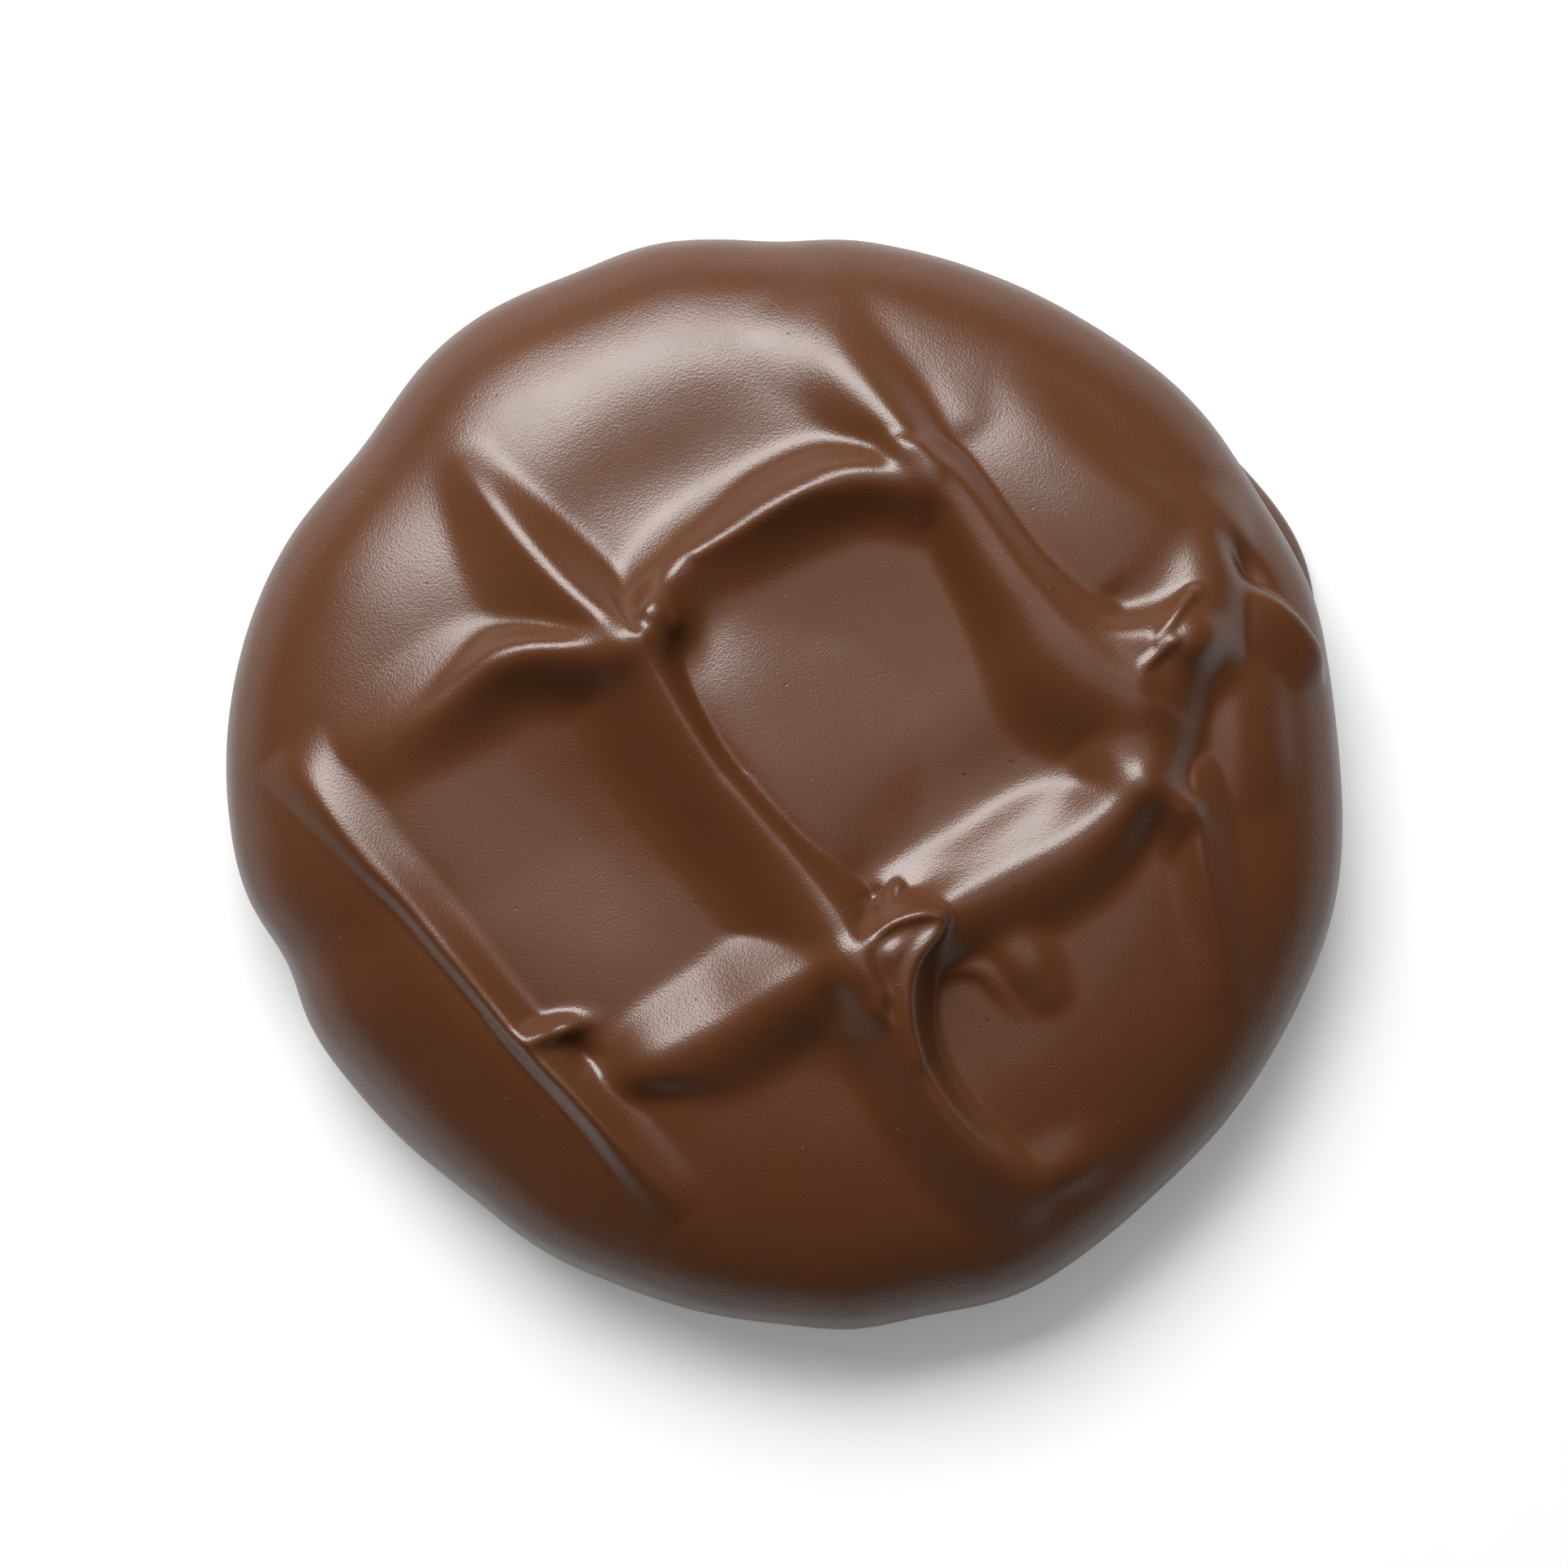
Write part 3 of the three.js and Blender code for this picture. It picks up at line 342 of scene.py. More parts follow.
# Ridges, lips and drawn-out tips with a crisper edge than the broad ridges.
FINE_RIDGES = (
    Ridge("right long ridge, near part", RAMP, MOUND, (
        (5.28, 13.34, 1.45, 1.3, 2.4, 0.4),
        (6.32, 12.43, 1.4, 1.4, 2.4, 0.45),
        (7.17, 11.45, 1.35, 1.5, 2.4, 0.45),
        (8.05, 10.18, 1.35, 1.65, 2.6, 0.45),
        (9.19, 8.45, 1.4, 1.9, 2.9, 0.45),
        (10.26, 7.08, 1.4, 2.3, 3.6, 0.45),
        (11.37, 5.78, 1.45, 2.8, 4.4, 0.45),
        (12.57, 4.67, 1.5, 3.0, 4.6, 0.45),
        (13.88, 3.89, 1.5, 3.0, 4.0, 0.45),
    )),
    Ridge("middle long ridge, between the crossings", RAMP, SLOPE, (
        (-5.73, 5.72, 2.0, 1.4, 4.1, 0.3),
        (-4.82, 4.15, 1.75, 1.1, 4.3, 0.2),
        (-3.94, 2.65, 1.6, 1.0, 4.4, 0.15),
        (-2.8, 0.9, 1.5, 0.9, 4.4, 0.12),
        (-1.37, -0.8, 1.48, 0.9, 4.4, 0.12),
        (0.07, -2.49, 1.52, 1.0, 4.4, 0.15),
        (1.24, -4.02, 1.65, 1.4, 4.3, 0.25),
        (2.28, -5.55, 1.95, 1.8, 4.2, 0.4),
        (3.13, -7.15, 2.2, 1.4, 3.8, 0.5),
        (3.78, -8.36, 2.1, 1.0, 3.3, 0.5),
    )),
    Ridge("left long ridge", SWEEP, RAMP, (
        (-20.39, 1.42, 0.0, 2.2, 1.6, 0.5),
        (-19.32, 0.18, 0.5, 2.2, 1.5, 0.4),
        (-18.18, -1.32, 0.75, 2.0, 1.4, 0.3),
        (-16.81, -2.98, 0.85, 1.8, 1.3, 0.2),
        (-15.11, -4.74, 0.95, 1.6, 1.1, 0.15),
        (-13.52, -6.63, 1.05, 1.5, 1.0, 0.15),
        (-12.02, -8.45, 1.15, 1.4, 0.9, 0.15),
        (-10.75, -9.98, 1.35, 1.4, 1.0, 0.15),
        (-9.12, -11.68, 1.4, 1.4, 1.1, 0.15),
        (-7.62, -13.31, 1.25, 1.5, 1.2, 0.15),
        (-5.8, -15.55, 0.8, 1.8, 1.4, 0.25),
        (-3.94, -17.51, 0.1, 1.8, 1.6, 0.4),
    )),
    Ridge("step on the right", RAMP, HOLLOW, (
        (16.22, 1.32, 0.0, 1.6, 1.5, 0.2),
        (16.35, 0.34, 0.4, 1.6, 1.5, 0.1),
        (16.51, -0.96, 0.68, 1.6, 1.45, 0.06),
        (16.64, -2.59, 0.75, 1.6, 1.4, 0.05),
        (17.0, -4.32, 0.62, 1.5, 1.5, 0.06),
        (17.46, -6.01, 0.42, 1.4, 1.6, 0.1),
        (17.82, -7.8, 0.2, 1.3, 1.6, 0.2),
        (18.01, -9.27, 0.0, 1.2, 1.5, 0.3),
    )),
    Ridge("leaf of the near crossing", RAMP, RAMP, (
        (3.26, -6.34, 2.05, 1.0, 1.6, 0.1),
        (3.94, -5.68, 2.2, 1.2, 1.6, 0.06),
        (4.69, -5.29, 2.25, 1.35, 1.6, 0.05),
        (5.5, -5.1, 2.15, 1.2, 1.4, 0.05),
        (6.22, -5.16, 1.9, 0.9, 1.0, 0.1),
    )),
    Ridge("lip of the leaf", RAMP, RAMP, (
        (3.13, -6.07, 1.7, 0.5, 0.5, 0.05),
        (3.39, -5.46, 1.4, 0.5, 0.5, 0.05),
        (3.75, -5.0, 1.15, 0.5, 0.5, 0.05),
        (4.17, -4.54, 0.95, 0.5, 0.5, 0.05),
        (4.56, -4.06, 0.8, 0.5, 0.5, 0.05),
    )),
    Ridge("lip of the middle cross ridge", RAMP, RAMP, (
        (-3.52, 9.1, 0.95, 1.6, 1.2, 0.05),
        (-2.08, 9.89, 1.15, 1.8, 1.3, 0.05),
        (-0.52, 10.86, 1.4, 2.0, 1.4, 0.05),
        (0.78, 11.58, 1.45, 1.8, 1.4, 0.05),
        (1.5, 11.84, 1.25, 1.6, 1.4, 0.05),
    )),
    Ridge("fold below the leaf", RAMP, MOUND, (
        (5.28, -8.09, 0.1, 1.6, 0.5, 0.1),
        (5.99, -7.64, 0.22, 1.9, 0.5, 0.1),
        (6.97, -7.31, 0.25, 2.0, 0.5, 0.1),
        (7.88, -7.41, 0.24, 1.9, 0.6, 0.1),
        (8.6, -7.96, 0.18, 1.6, 0.7, 0.15),
        (9.32, -8.81, 0.05, 1.2, 0.7, 0.2),
    )),
    Ridge("hem of the leaf", RAMP, MOUND, (
        (6.32, -5.36, 1.6, 0.9, 0.9, 0.15),
        (5.99, -5.81, 1.85, 1.1, 1.0, 0.12),
        (5.54, -6.4, 2.05, 1.2, 1.1, 0.12),
        (5.18, -7.12, 2.1, 1.2, 1.2, 0.12),
        (5.02, -8.09, 2.0, 1.1, 1.2, 0.15),
        (5.08, -9.43, 1.8, 1.0, 1.2, 0.2),
        (5.41, -10.9, 1.5, 0.9, 1.2, 0.2),
    )),
    Ridge("first crease of the right crossing", MOUND, MOUND, (
        (14.85, 5.72, 1.35, 0.5, 0.7, 0.2),
        (15.24, 6.37, 1.45, 0.5, 0.7, 0.2),
        (15.7, 6.99, 1.45, 0.5, 0.7, 0.2),
        (16.35, 7.7, 1.3, 0.5, 0.7, 0.2),
    )),
    Ridge("second crease of the right crossing", MOUND, MOUND, (
        (14.4, 4.8, 1.35, 0.45, 0.7, 0.15),
        (14.92, 5.26, 1.45, 0.45, 0.7, 0.15),
        (15.44, 5.72, 1.5, 0.45, 0.7, 0.15),
    )),
    Ridge("flap at the right edge", WALL, HOLLOW, (
        (17.79, 9.14, 0.0, 0.4, 2.0, 0.1),
        (18.53, 8.26, 0.4, 0.4, 2.6, 0.1),
        (19.61, 7.28, 0.6, 0.4, 3.0, 0.1),
        (20.72, 6.21, 0.6, 0.4, 2.6, 0.1),
        (21.43, 5.13, 0.5, 0.4, 2.0, 0.1),
        (21.76, 3.76, 0.0, 0.4, 1.6, 0.1),
    )),
)
# How far the two kinds are smoothed, in mm.
BROAD_SOFTNESS = 0.28
FINE_SOFTNESS = 0.09
# Ridges that overlap join in a soft saddle. A higher power makes a sharper valley line.
JOIN_POWER = 6.0

# Sunken places, with a height below zero, and small lobes: centre, height, the two half
# widths, the turn of the first one from X, and how flat the middle is (1 for a plain bell).
Spot = namedtuple("Spot", "name x y height along across turn flatness")
SPOTS = (
    Spot("floor of the middle hollow", 4.04, 5.39, -0.6, 5.8, 4.4, -55.0, 1.2),
    Spot("deep end of the middle hollow", 8.11, 0.02, -0.45, 4.2, 2.0, 32.0, 1.0),
    Spot("floor of the left hollow", -8.18, -1.78, -0.75, 5.5, 3.6, -55.0, 1.0),
    Spot("floor of the far hollow", -4.36, 12.62, -0.45, 5.5, 2.7, 27.0, 1.0),
    Spot("dent below the near cross ridge", -4.59, -12.46, -0.25, 1.6, 0.6, 0.0, 1.0),
    Spot("hollow beside the hooked tip", -7.95, -10.9, -0.35, 0.7, 0.5, -35.0, 1.0),
    Spot("pit below the near crossing", 2.08, -8.55, -0.15, 1.3, 0.8, -20.0, 1.0),
    Spot("basin beside the leaf", 3.52, -4.64, -0.3, 0.5, 0.4, 40.0, 1.0),
    Spot("pit beside the flap", 18.63, 8.75, -0.6, 1.4, 0.45, -55.0, 1.0),
    Spot("lobe of the middle crossing", -4.69, 6.37, 0.8, 1.3, 0.95, -60.0, 1.2),
    Spot("hooked tip of the left ridge", -9.12, -9.85, 0.8, 1.15, 0.5, 14.0, 1.2),
    Spot("lump of the right crossing", 16.55, 5.85, 0.5, 1.15, 0.95, 0.0, 1.3),
)

# Tips that hang over to one side: centre, reach, heights where the shift starts and is
# full, and the shift along X and Y.
Lean = namedtuple("Lean", "name x y reach start full along_x along_y")
LEANS = (
    Lean("lobe of the middle crossing", -4.04, 6.04, 0.8, 0.7, 1.6, 0.3, -0.05),
    Lean("leaf of the near crossing", 5.86, -6.01, 0.9, 1.3, 2.1, 0.2, 0.0),
    Lean("hooked tip of the left ridge", -8.14, -9.72, 0.6, 0.4, 1.1, 0.2, -0.1),
)

# The relief is worked out on a square grid: its step and its half width in mm.
RELIEF_STEP = 0.12
RELIEF_HALF_WIDTH = 25.0
# A bell that smooths the relief ends at this many times its softness.
BLUR_REACH = 3.0

# Noise between these two values spreads over the full range of clouds and gloss.
CLOUD_LOW = 0.3
CLOUD_HIGH = 0.7
# Width of the patches of gloss as a share of the width of the clouds.
GLOSS_CLOUD_SHARE = 0.5
REFRACTION = 1.45
# Pores and pale specks: the share of places that have one, how strongly it tints the coat (for
# pores this is a painted shade), the depth of a pore in grain depths, and the size of specks as
# a share of that of pores.
PORES_KEPT = 0.22
PORE_SHADE_TINT = 0.7
PORE_DEPTH = 1.5
SPECKS_KEPT = 0.12
SPECK_TINT = 0.5
SPECK_SPACING_SHARE = 0.83
SPECK_RADIUS_SHARE = 0.8
# Share of a dot's radius that it fills in full before it fades to its edge.
DOT_CORE = 0.4
# Places of the colour sockets on a Mix node that mixes colours.
MIX_FIRST = 6
MIX_SECOND = 7
MIX_RESULT = 2

# Floor: corners of its edge, width of its fibre, how much the fibre darkens it, and its
# roughness.
FLOOR_CORNERS = 96
FIBRE_SIZE = 2 * MM
FIBRE_SHADE = 0.98
FLOOR_ROUGHNESS = 0.9
# Soft boxes: distance from the patty and the lengths of the two sides, in metres.
KEY_BOX = (0.5, 0.42, 0.25)
OVERHEAD_BOX = (0.7, 0.75, 0.85)
OVERHEAD_BEARING = math.radians(75)
OVERHEAD_FROM_ZENITH = math.radians(20)
BACKGROUND_STRENGTH = 0.9
CAMERA_LENS = 100.0
CAMERA_SENSOR = 36.0
# Height of the level at which the width of the view is measured.
FRAMED_HEIGHT = 4 * MM
# Half a turn in degrees.
HALF_TURN = 180.0


def smooth_rows(rows, steps):
    """A smooth curve (Catmull-Rom) through rows of numbers, returned as more rows."""
    known = np.array(rows, float)
    before = 2 * known[0] - known[1]
    after = 2 * known[-1] - known[-2]
    known = np.vstack([before, known, after])
    made = []
    for a, b, c, d in zip(known[:-3], known[1:-2], known[2:-1], known[3:]):
        for t in np.arange(steps) / steps:
            square = (2 * a - 5 * b + 4 * c - d) * t**2
            cube = (3 * b - a - 3 * c + d) * t**3
            made.append(0.5 * (2 * b + (c - a) * t + square + cube))
    made.append(known[-2])
    return np.array(made)


def smooth_share(value, start, end):
    """Smooth change from 0 to 1 while value goes from start to end."""
    t = np.clip((value - start) / (end - start), 0, 1)
    return t * t * (3 - 2 * t)


def swell_at(bearing, place, size, spread):
    """A swell of the outline, which fades on both sides of its own bearing."""
    apart = (np.degrees(bearing) - place + HALF_TURN) % (2 * HALF_TURN) - HALF_TURN
    return size * np.exp(-((apart / spread) ** 2))


def tuck_at(bearing, z):
    """How far the body stays back at a bearing and a height."""
    total = 0
    for place, size, spread, full_above in TUCKS:
        share = smooth_share(z, TUCK_STARTS_ABOVE, full_above)
        total = total + swell_at(bearing, place, size, spread) * share
    return total


def ridge_height(ridge, x, y):
    """Height of one ridge over the body at points seen from above."""
    path = smooth_rows(ridge.crest, CREST_STEPS)
    widest = path[:, 3:5].max()
    nearest = np.full(x.shape, np.inf)
    on_left = np.zeros(x.shape, bool)
    # Height, both reaches and rounding of the crest where it is nearest to each point.
    facts = np.ones(x.shape + (4,))
    facts[..., 0] = 0.0
    for start, end in zip(path[:-1], path[1:]):
        low = np.minimum(start, end)[:2] - widest
        high = np.maximum(start, end)[:2] + widest
        close = np.nonzero((x > low[0]) & (x < high[0]) & (y > low[1]) & (y < high[1]))[0]
        step = end - start
        off_x = x[close] - start[0]
        off_y = y[close] - start[1]
        share = np.clip((off_x * step[0] + off_y * step[1]) / (step[0] ** 2 + step[1] ** 2), 0, 1)
        off_x = off_x - share * step[0]
        off_y = off_y - share * step[1]
        distance = np.hypot(off_x, off_y)
        better = distance < nearest[close]
        found = close[better]
        nearest[found] = distance[better]
        facts[found] = start[2:] + share[better, None] * step[2:]
        on_left[found] = (step[0] * off_y - step[1] * off_x)[better] > 0
    height, left_reach, right_reach, rounding = np.maximum(facts, 0).T
    reach = np.where(on_left, left_reach, right_reach)
    share = np.hypot(np.minimum(nearest, reach), rounding) - rounding
    share = share / (np.hypot(reach, rounding) - rounding)
    left = (1 - share**ridge.left.bend) ** ridge.left.fall
    right = (1 - share**ridge.right.bend) ** ridge.right.fall
    return height * np.where(on_left, left, right)


def blurred(field, softness):
    """The field smoothed by a bell of this softness in mm."""
    reach = math.ceil(BLUR_REACH * softness / RELIEF_STEP)
    offsets = np.arange(-reach, reach + 1)
    weights = np.exp(-0.5 * (offsets * RELIEF_STEP / softness) ** 2)
    weights /= weights.sum()
    for axis in (0, 1):
        field = sum(weight * np.roll(field, offset, axis) for offset, weight in zip(offsets, weights))
    return field


def joined_ridges(ridges, x, y, softness):
    """Height of several ridges together, smoothed."""
    total = sum(ridge_height(ridge, x.ravel(), y.ravel()) ** JOIN_POWER for ridge in ridges)
    return np.maximum(blurred((total ** (1 / JOIN_POWER)).reshape(x.shape), softness), 0)


def relief_grid():
    """Height of the relief over the body on a regular grid seen from above."""
    line = np.arange(-RELIEF_HALF_WIDTH, RELIEF_HALF_WIDTH + RELIEF_STEP, RELIEF_STEP)
    x, y = np.meshgrid(line, line)
    broad = joined_ridges(BROAD_RIDGES, x, y, BROAD_SOFTNESS)
    fine = joined_ridges(FINE_RIDGES, x, y, FINE_SOFTNESS)
    grid = (broad**JOIN_POWER + fine**JOIN_POWER) ** (1 / JOIN_POWER)
    for spot in SPOTS:
        turn = math.radians(spot.turn)
        along = ((x - spot.x) * math.cos(turn) + (y - spot.y) * math.sin(turn)) / spot.along
        across = ((y - spot.y) * math.cos(turn) - (x - spot.x) * math.sin(turn)) / spot.across
        grid += spot.height * np.exp(-((along**2 + across**2) ** spot.flatness))
    return grid


def relief_at(grid, x, y):
    """Height of the relief at points between the grid's own."""
    column = (x + RELIEF_HALF_WIDTH) / RELIEF_STEP
    row = (y + RELIEF_HALF_WIDTH) / RELIEF_STEP
    left = np.clip(column.astype(int), 0, grid.shape[1] - 2)
    low = np.clip(row.astype(int), 0, grid.shape[0] - 2)
    right_share = column - left
    high_share = row - low
    near = grid[low, left] * (1 - right_share) + grid[low, left + 1] * right_share
    far = grid[low + 1, left] * (1 - right_share) + grid[low + 1, left + 1] * right_share
    return near * (1 - high_share) + far * high_share


def measured_section():
    """Section rows: length run along it, share, height, and how far it faces out and up."""
    share, height = smooth_rows(SECTION, SECTION_STEPS).T
    radius = share * OUTLINE_RADIUS
    length = np.concatenate([[0], np.cumsum(np.hypot(np.diff(radius), np.diff(height)))])
    outward = -np.gradient(height, length)
    upward = np.gradient(radius, length)
    return length, share, height, outward, upward


def ring_lengths(length, share, top_rings, side_rings):
    """Length along the section at each ring: the first rings cover the top."""
    top_end = length[np.argmax(share >= TOP_ENDS_AT_SHARE)]
    top = np.linspace(0, top_end, top_rings + 1)
    side = np.linspace(top_end, length[-1], side_rings + 1)[1:]
    return np.concatenate([top, side])


def square_grid(rings):
    """Ring and bearing of each cell of a square grid, whose square rings become round."""
    line = np.arange(-rings, rings + 1)
    column, row = np.meshgrid(line, line)
    wide = abs(column) >= abs(row)
    across = np.where(wide, row, column) / np.maximum(np.where(wide, abs(column), abs(row)), 1)
    quarter = math.pi / 2
    facing = np.where(wide, np.where(column < 0, math.pi, 0), np.where(row < 0, -quarter, quarter))
    turned = np.where(wide, np.sign(column), -np.sign(row)) * across * quarter / 2
    return np.maximum(abs(column), abs(row)), facing + turned + GRID_TURN


def leaned(x, y, relief):
    """How far drawn-out tips are shifted to the side."""
    along_x = np.zeros(x.shape)
    along_y = np.zeros(x.shape)
    for lean in LEANS:
        near = np.exp(-((x - lean.x) ** 2 + (y - lean.y) ** 2) / lean.reach**2)
        share = near * smooth_share(relief, lean.start, lean.full)
        along_x += share * lean.along_x
        along_y += share * lean.along_y
    return along_x, along_y


def coat_points(top_rings, side_rings, relief_share):
    """Points of the coated surface in mm, as a square grid of rows."""
    length, share, height, outward, upward = measured_section()
    lengths = ring_lengths(length, share, top_rings, side_rings)
    ring, bearing = square_grid(top_rings + side_rings)
    run = lengths[ring]
    z = np.interp(run, length, height)
    outline = OUTLINE_RADIUS + sum(swell_at(bearing, *swell) for swell in OUTLINE_SWELLS)
    radius = np.interp(run, length, share) * (outline - tuck_at(bearing, z))
    x = OUTLINE_CENTRE[0] + radius * np.cos(bearing)
    y = OUTLINE_CENTRE[1] + radius * np.sin(bearing)
    fade = np.clip((z - RELIEF_ENDS_BELOW) / (RELIEF_FULL_ABOVE - RELIEF_ENDS_BELOW), 0, 1)
    relief = relief_share * fade * relief_at(relief_grid(), x, y)
    facing_out = np.interp(run, length, outward)
    sideways = smooth_share(facing_out, SIDEWAYS_STARTS, SIDEWAYS_FULL)
    out = relief * facing_out * sideways
    up = relief * (1 - sideways + sideways * np.interp(run, length, upward))
    lean_x, lean_y = leaned(x, y, relief)
    x = x + out * np.cos(bearing) + lean_x
    y = y + out * np.sin(bearing) + lean_y
    return np.stack([x, y, z + up], -1)


def coat_faces(side):
    """Quads of the grid, then the flat base as a fan around one middle point."""
    point = np.arange(side * side).reshape(side, side)
    corners = (point[:-1, :-1], point[:-1, 1:], point[1:, 1:], point[1:, :-1])
    quads = np.stack(corners, -1).reshape(-1, 4).tolist()
    edges = (point[0, :-1], point[:-1, -1], point[-1, :0:-1], point[:0:-1, 0])
    rim = np.concatenate(edges).tolist()
    middle = side * side
    fan = [(first, middle, second) for first, second in zip(rim, rim[1:] + rim[:1])]
    return quads + fan


def new_object(name, points, faces):
    """A smooth shaded object at the origin, linked to the scene."""
    mesh = bpy.data.meshes.new(name)
    mesh.from_pydata(points, [], faces)
    mesh.polygons.foreach_set("use_smooth", [True] * len(mesh.polygons))
    mesh.update()
    made = bpy.data.objects.new(name, mesh)
    bpy.context.scene.collection.objects.link(made)
    return made


def add_node(tree, kind, values=None, settings=None):
    """A new node with its input values and its own settings."""
    node = tree.nodes.new(kind)
    for name, value in (settings or {}).items():
        setattr(node, name, value)
    for name, value in (values or {}).items():
        node.inputs[name].default_value = value
    return node


def connect(tree, source, target):
    """Joins an output socket to an input socket."""
    tree.links.new(source, target)


def calculate(tree, operation, *terms):
    """Output of a Math node on sockets or plain numbers."""
    node = add_node(tree, "ShaderNodeMath", settings={"operation": operation})
    for socket, term in zip(node.inputs, terms):
        if isinstance(term, bpy.types.NodeSocket):
            connect(tree, term, socket)
        else:
            socket.default_value = term
    return node.outputs["Value"]


def ramp(tree, value, low, high, to_low, to_high):
    """Value moved from one range to another."""
    limits = {"From Min": low, "From Max": high, "To Min": to_low, "To Max": to_high}
    node = add_node(tree, "ShaderNodeMapRange", limits)
    connect(tree, value, node.inputs["Value"])
    return node.outputs["Result"]


def uneven_amount(tree, place, size, height, seed):
    """Signed offset of one layer of unevenness, from noise of the given size."""
    noise = add_node(tree, "ShaderNodeTexNoise", {"Detail": 1.0}, {"noise_dimensions": "4D"})
    connect(tree, place, noise.inputs["Vector"])
    connect(tree, seed, noise.inputs["W"])
    connect(tree, calculate(tree, "DIVIDE", 1.0, size), noise.inputs["Scale"])
    # Noise from 0 to 1 becomes an offset from -1 to 1.
    signed = calculate(tree, "MULTIPLY_ADD", noise.outputs["Fac"], 2.0, -1.0)
    return calculate(tree, "MULTIPLY", signed, height)


def coat_finish_tree():
    """Geometry nodes that make the smooth coat slightly uneven, as a set coat is."""
    tree = bpy.data.node_groups.new("coat finish", "GeometryNodeTree")
    tree.interface.new_socket("Geometry", in_out="INPUT", socket_type="NodeSocketGeometry")
    for name in ("Swell Height", "Swell Size", "Ripple Height", "Ripple Size", "Seed"):
        tree.interface.new_socket(name, in_out="INPUT", socket_type="NodeSocketFloat")
    tree.interface.new_socket("Material", in_out="INPUT", socket_type="NodeSocketMaterial")
    tree.interface.new_socket("Geometry", in_out="OUTPUT", socket_type="NodeSocketGeometry")
    given = tree.nodes.new("NodeGroupInput").outputs
    place = tree.nodes.new("GeometryNodeInputPosition").outputs["Position"]
    seed = given["Seed"]
    swell = uneven_amount(tree, place, given["Swell Size"], given["Swell Height"], seed)
    ripple = uneven_amount(tree, place, given["Ripple Size"], given["Ripple Height"], seed)
    above = add_node(tree, "ShaderNodeSeparateXYZ")
    connect(tree, place, above.inputs["Vector"])
    fade = ramp(tree, above.outputs["Z"], 0.0, RELIEF_ENDS_BELOW * MM, 0.0, 1.0)
    amount = calculate(tree, "MULTIPLY", calculate(tree, "ADD", swell, ripple), fade)
    offset = add_node(tree, "ShaderNodeVectorMath", settings={"operation": "SCALE"})
    connect(tree, tree.nodes.new("GeometryNodeInputNormal").outputs["Normal"], offset.inputs[0])
    connect(tree, amount, offset.inputs["Scale"])
    moved = tree.nodes.new("GeometryNodeSetPosition")
    connect(tree, given["Geometry"], moved.inputs["Geometry"])
    connect(tree, offset.outputs["Vector"], moved.inputs["Offset"])
    realized = tree.nodes.new("GeometryNodeRealizeInstances")
    connect(tree, moved.outputs["Geometry"], realized.inputs["Geometry"])
    painted = tree.nodes.new("GeometryNodeSetMaterial")
    connect(tree, realized.outputs["Geometry"], painted.inputs["Geometry"])
    connect(tree, given["Material"], painted.inputs["Material"])
    connect(tree, painted.outputs["Geometry"], tree.nodes.new("NodeGroupOutput").inputs["Geometry"])
    return tree


def apply_tree(piece, tree, values):
    """Runs a geometry node tree on the piece and keeps the result as its plain mesh."""
    modifier = piece.modifiers.new(tree.name, "NODES")
    modifier.node_group = tree
    for socket in tree.interface.items_tree:
        if socket.in_out == "INPUT" and socket.name in values:
            modifier[socket.identifier] = values[socket.name]
    depsgraph = bpy.context.evaluated_depsgraph_get()
    finished = bpy.data.meshes.new_from_object(piece.evaluated_get(depsgraph))
    piece.modifiers.remove(modifier)
    piece.data = finished
    finished.name = piece.name


def noise_fac(tree, place, size, detail=2.0):
    """Noise of the given size in metres."""
    noise = add_node(tree, "ShaderNodeTexNoise", {"Scale": 1 / size, "Detail": detail})
    connect(tree, place, noise.inputs["Vector"])
    return noise.outputs["Fac"]


def dots(tree, place, spacing, radius, kept_share):
    """Mask of scattered round dots of this radius, in a share of the cells."""
    cells = add_node(tree, "ShaderNodeTexVoronoi", {"Scale": 1 / spacing})
    connect(tree, place, cells.inputs["Vector"])
    share = radius / spacing
    dot = ramp(tree, cells.outputs["Distance"], share, DOT_CORE * share, 0.0, 1.0)
    draw = add_node(tree, "ShaderNodeSeparateColor")
    connect(tree, cells.outputs["Color"], draw.inputs["Color"])
    kept = calculate(tree, "LESS_THAN", draw.outputs["Red"], kept_share)
    return calculate(tree, "MULTIPLY", dot, kept)


def mixed_tone(tree, share, first, second):
    """Mix of two tones, each a socket or a plain colour."""
    mix = add_node(tree, "ShaderNodeMix", settings={"data_type": "RGBA"})
    connect(tree, share, mix.inputs["Factor"])
    for socket, tone in zip((mix.inputs[MIX_FIRST], mix.inputs[MIX_SECOND]), (first, second)):
        if isinstance(tone, bpy.types.NodeSocket):
            connect(tree, tone, socket)
        else:
            socket.default_value = (*tone, 1.0)
    return mix.outputs[MIX_RESULT]


def side_share(tree, place, finish):
    """Mask of the duller side of the coat, with an uneven upper edge."""
    level = add_node(tree, "ShaderNodeSeparateXYZ")
    connect(tree, place, level.inputs["Vector"])
    noise = noise_fac(tree, place, finish.cloud_size * GLOSS_CLOUD_SHARE)
    edge = calculate(tree, "MULTIPLY", noise, finish.side_edge)
    height = calculate(tree, "ADD", level.outputs["Z"], edge)
    return ramp(tree, height, finish.side_top, finish.side_top - finish.side_edge, 0.0, 1.0)


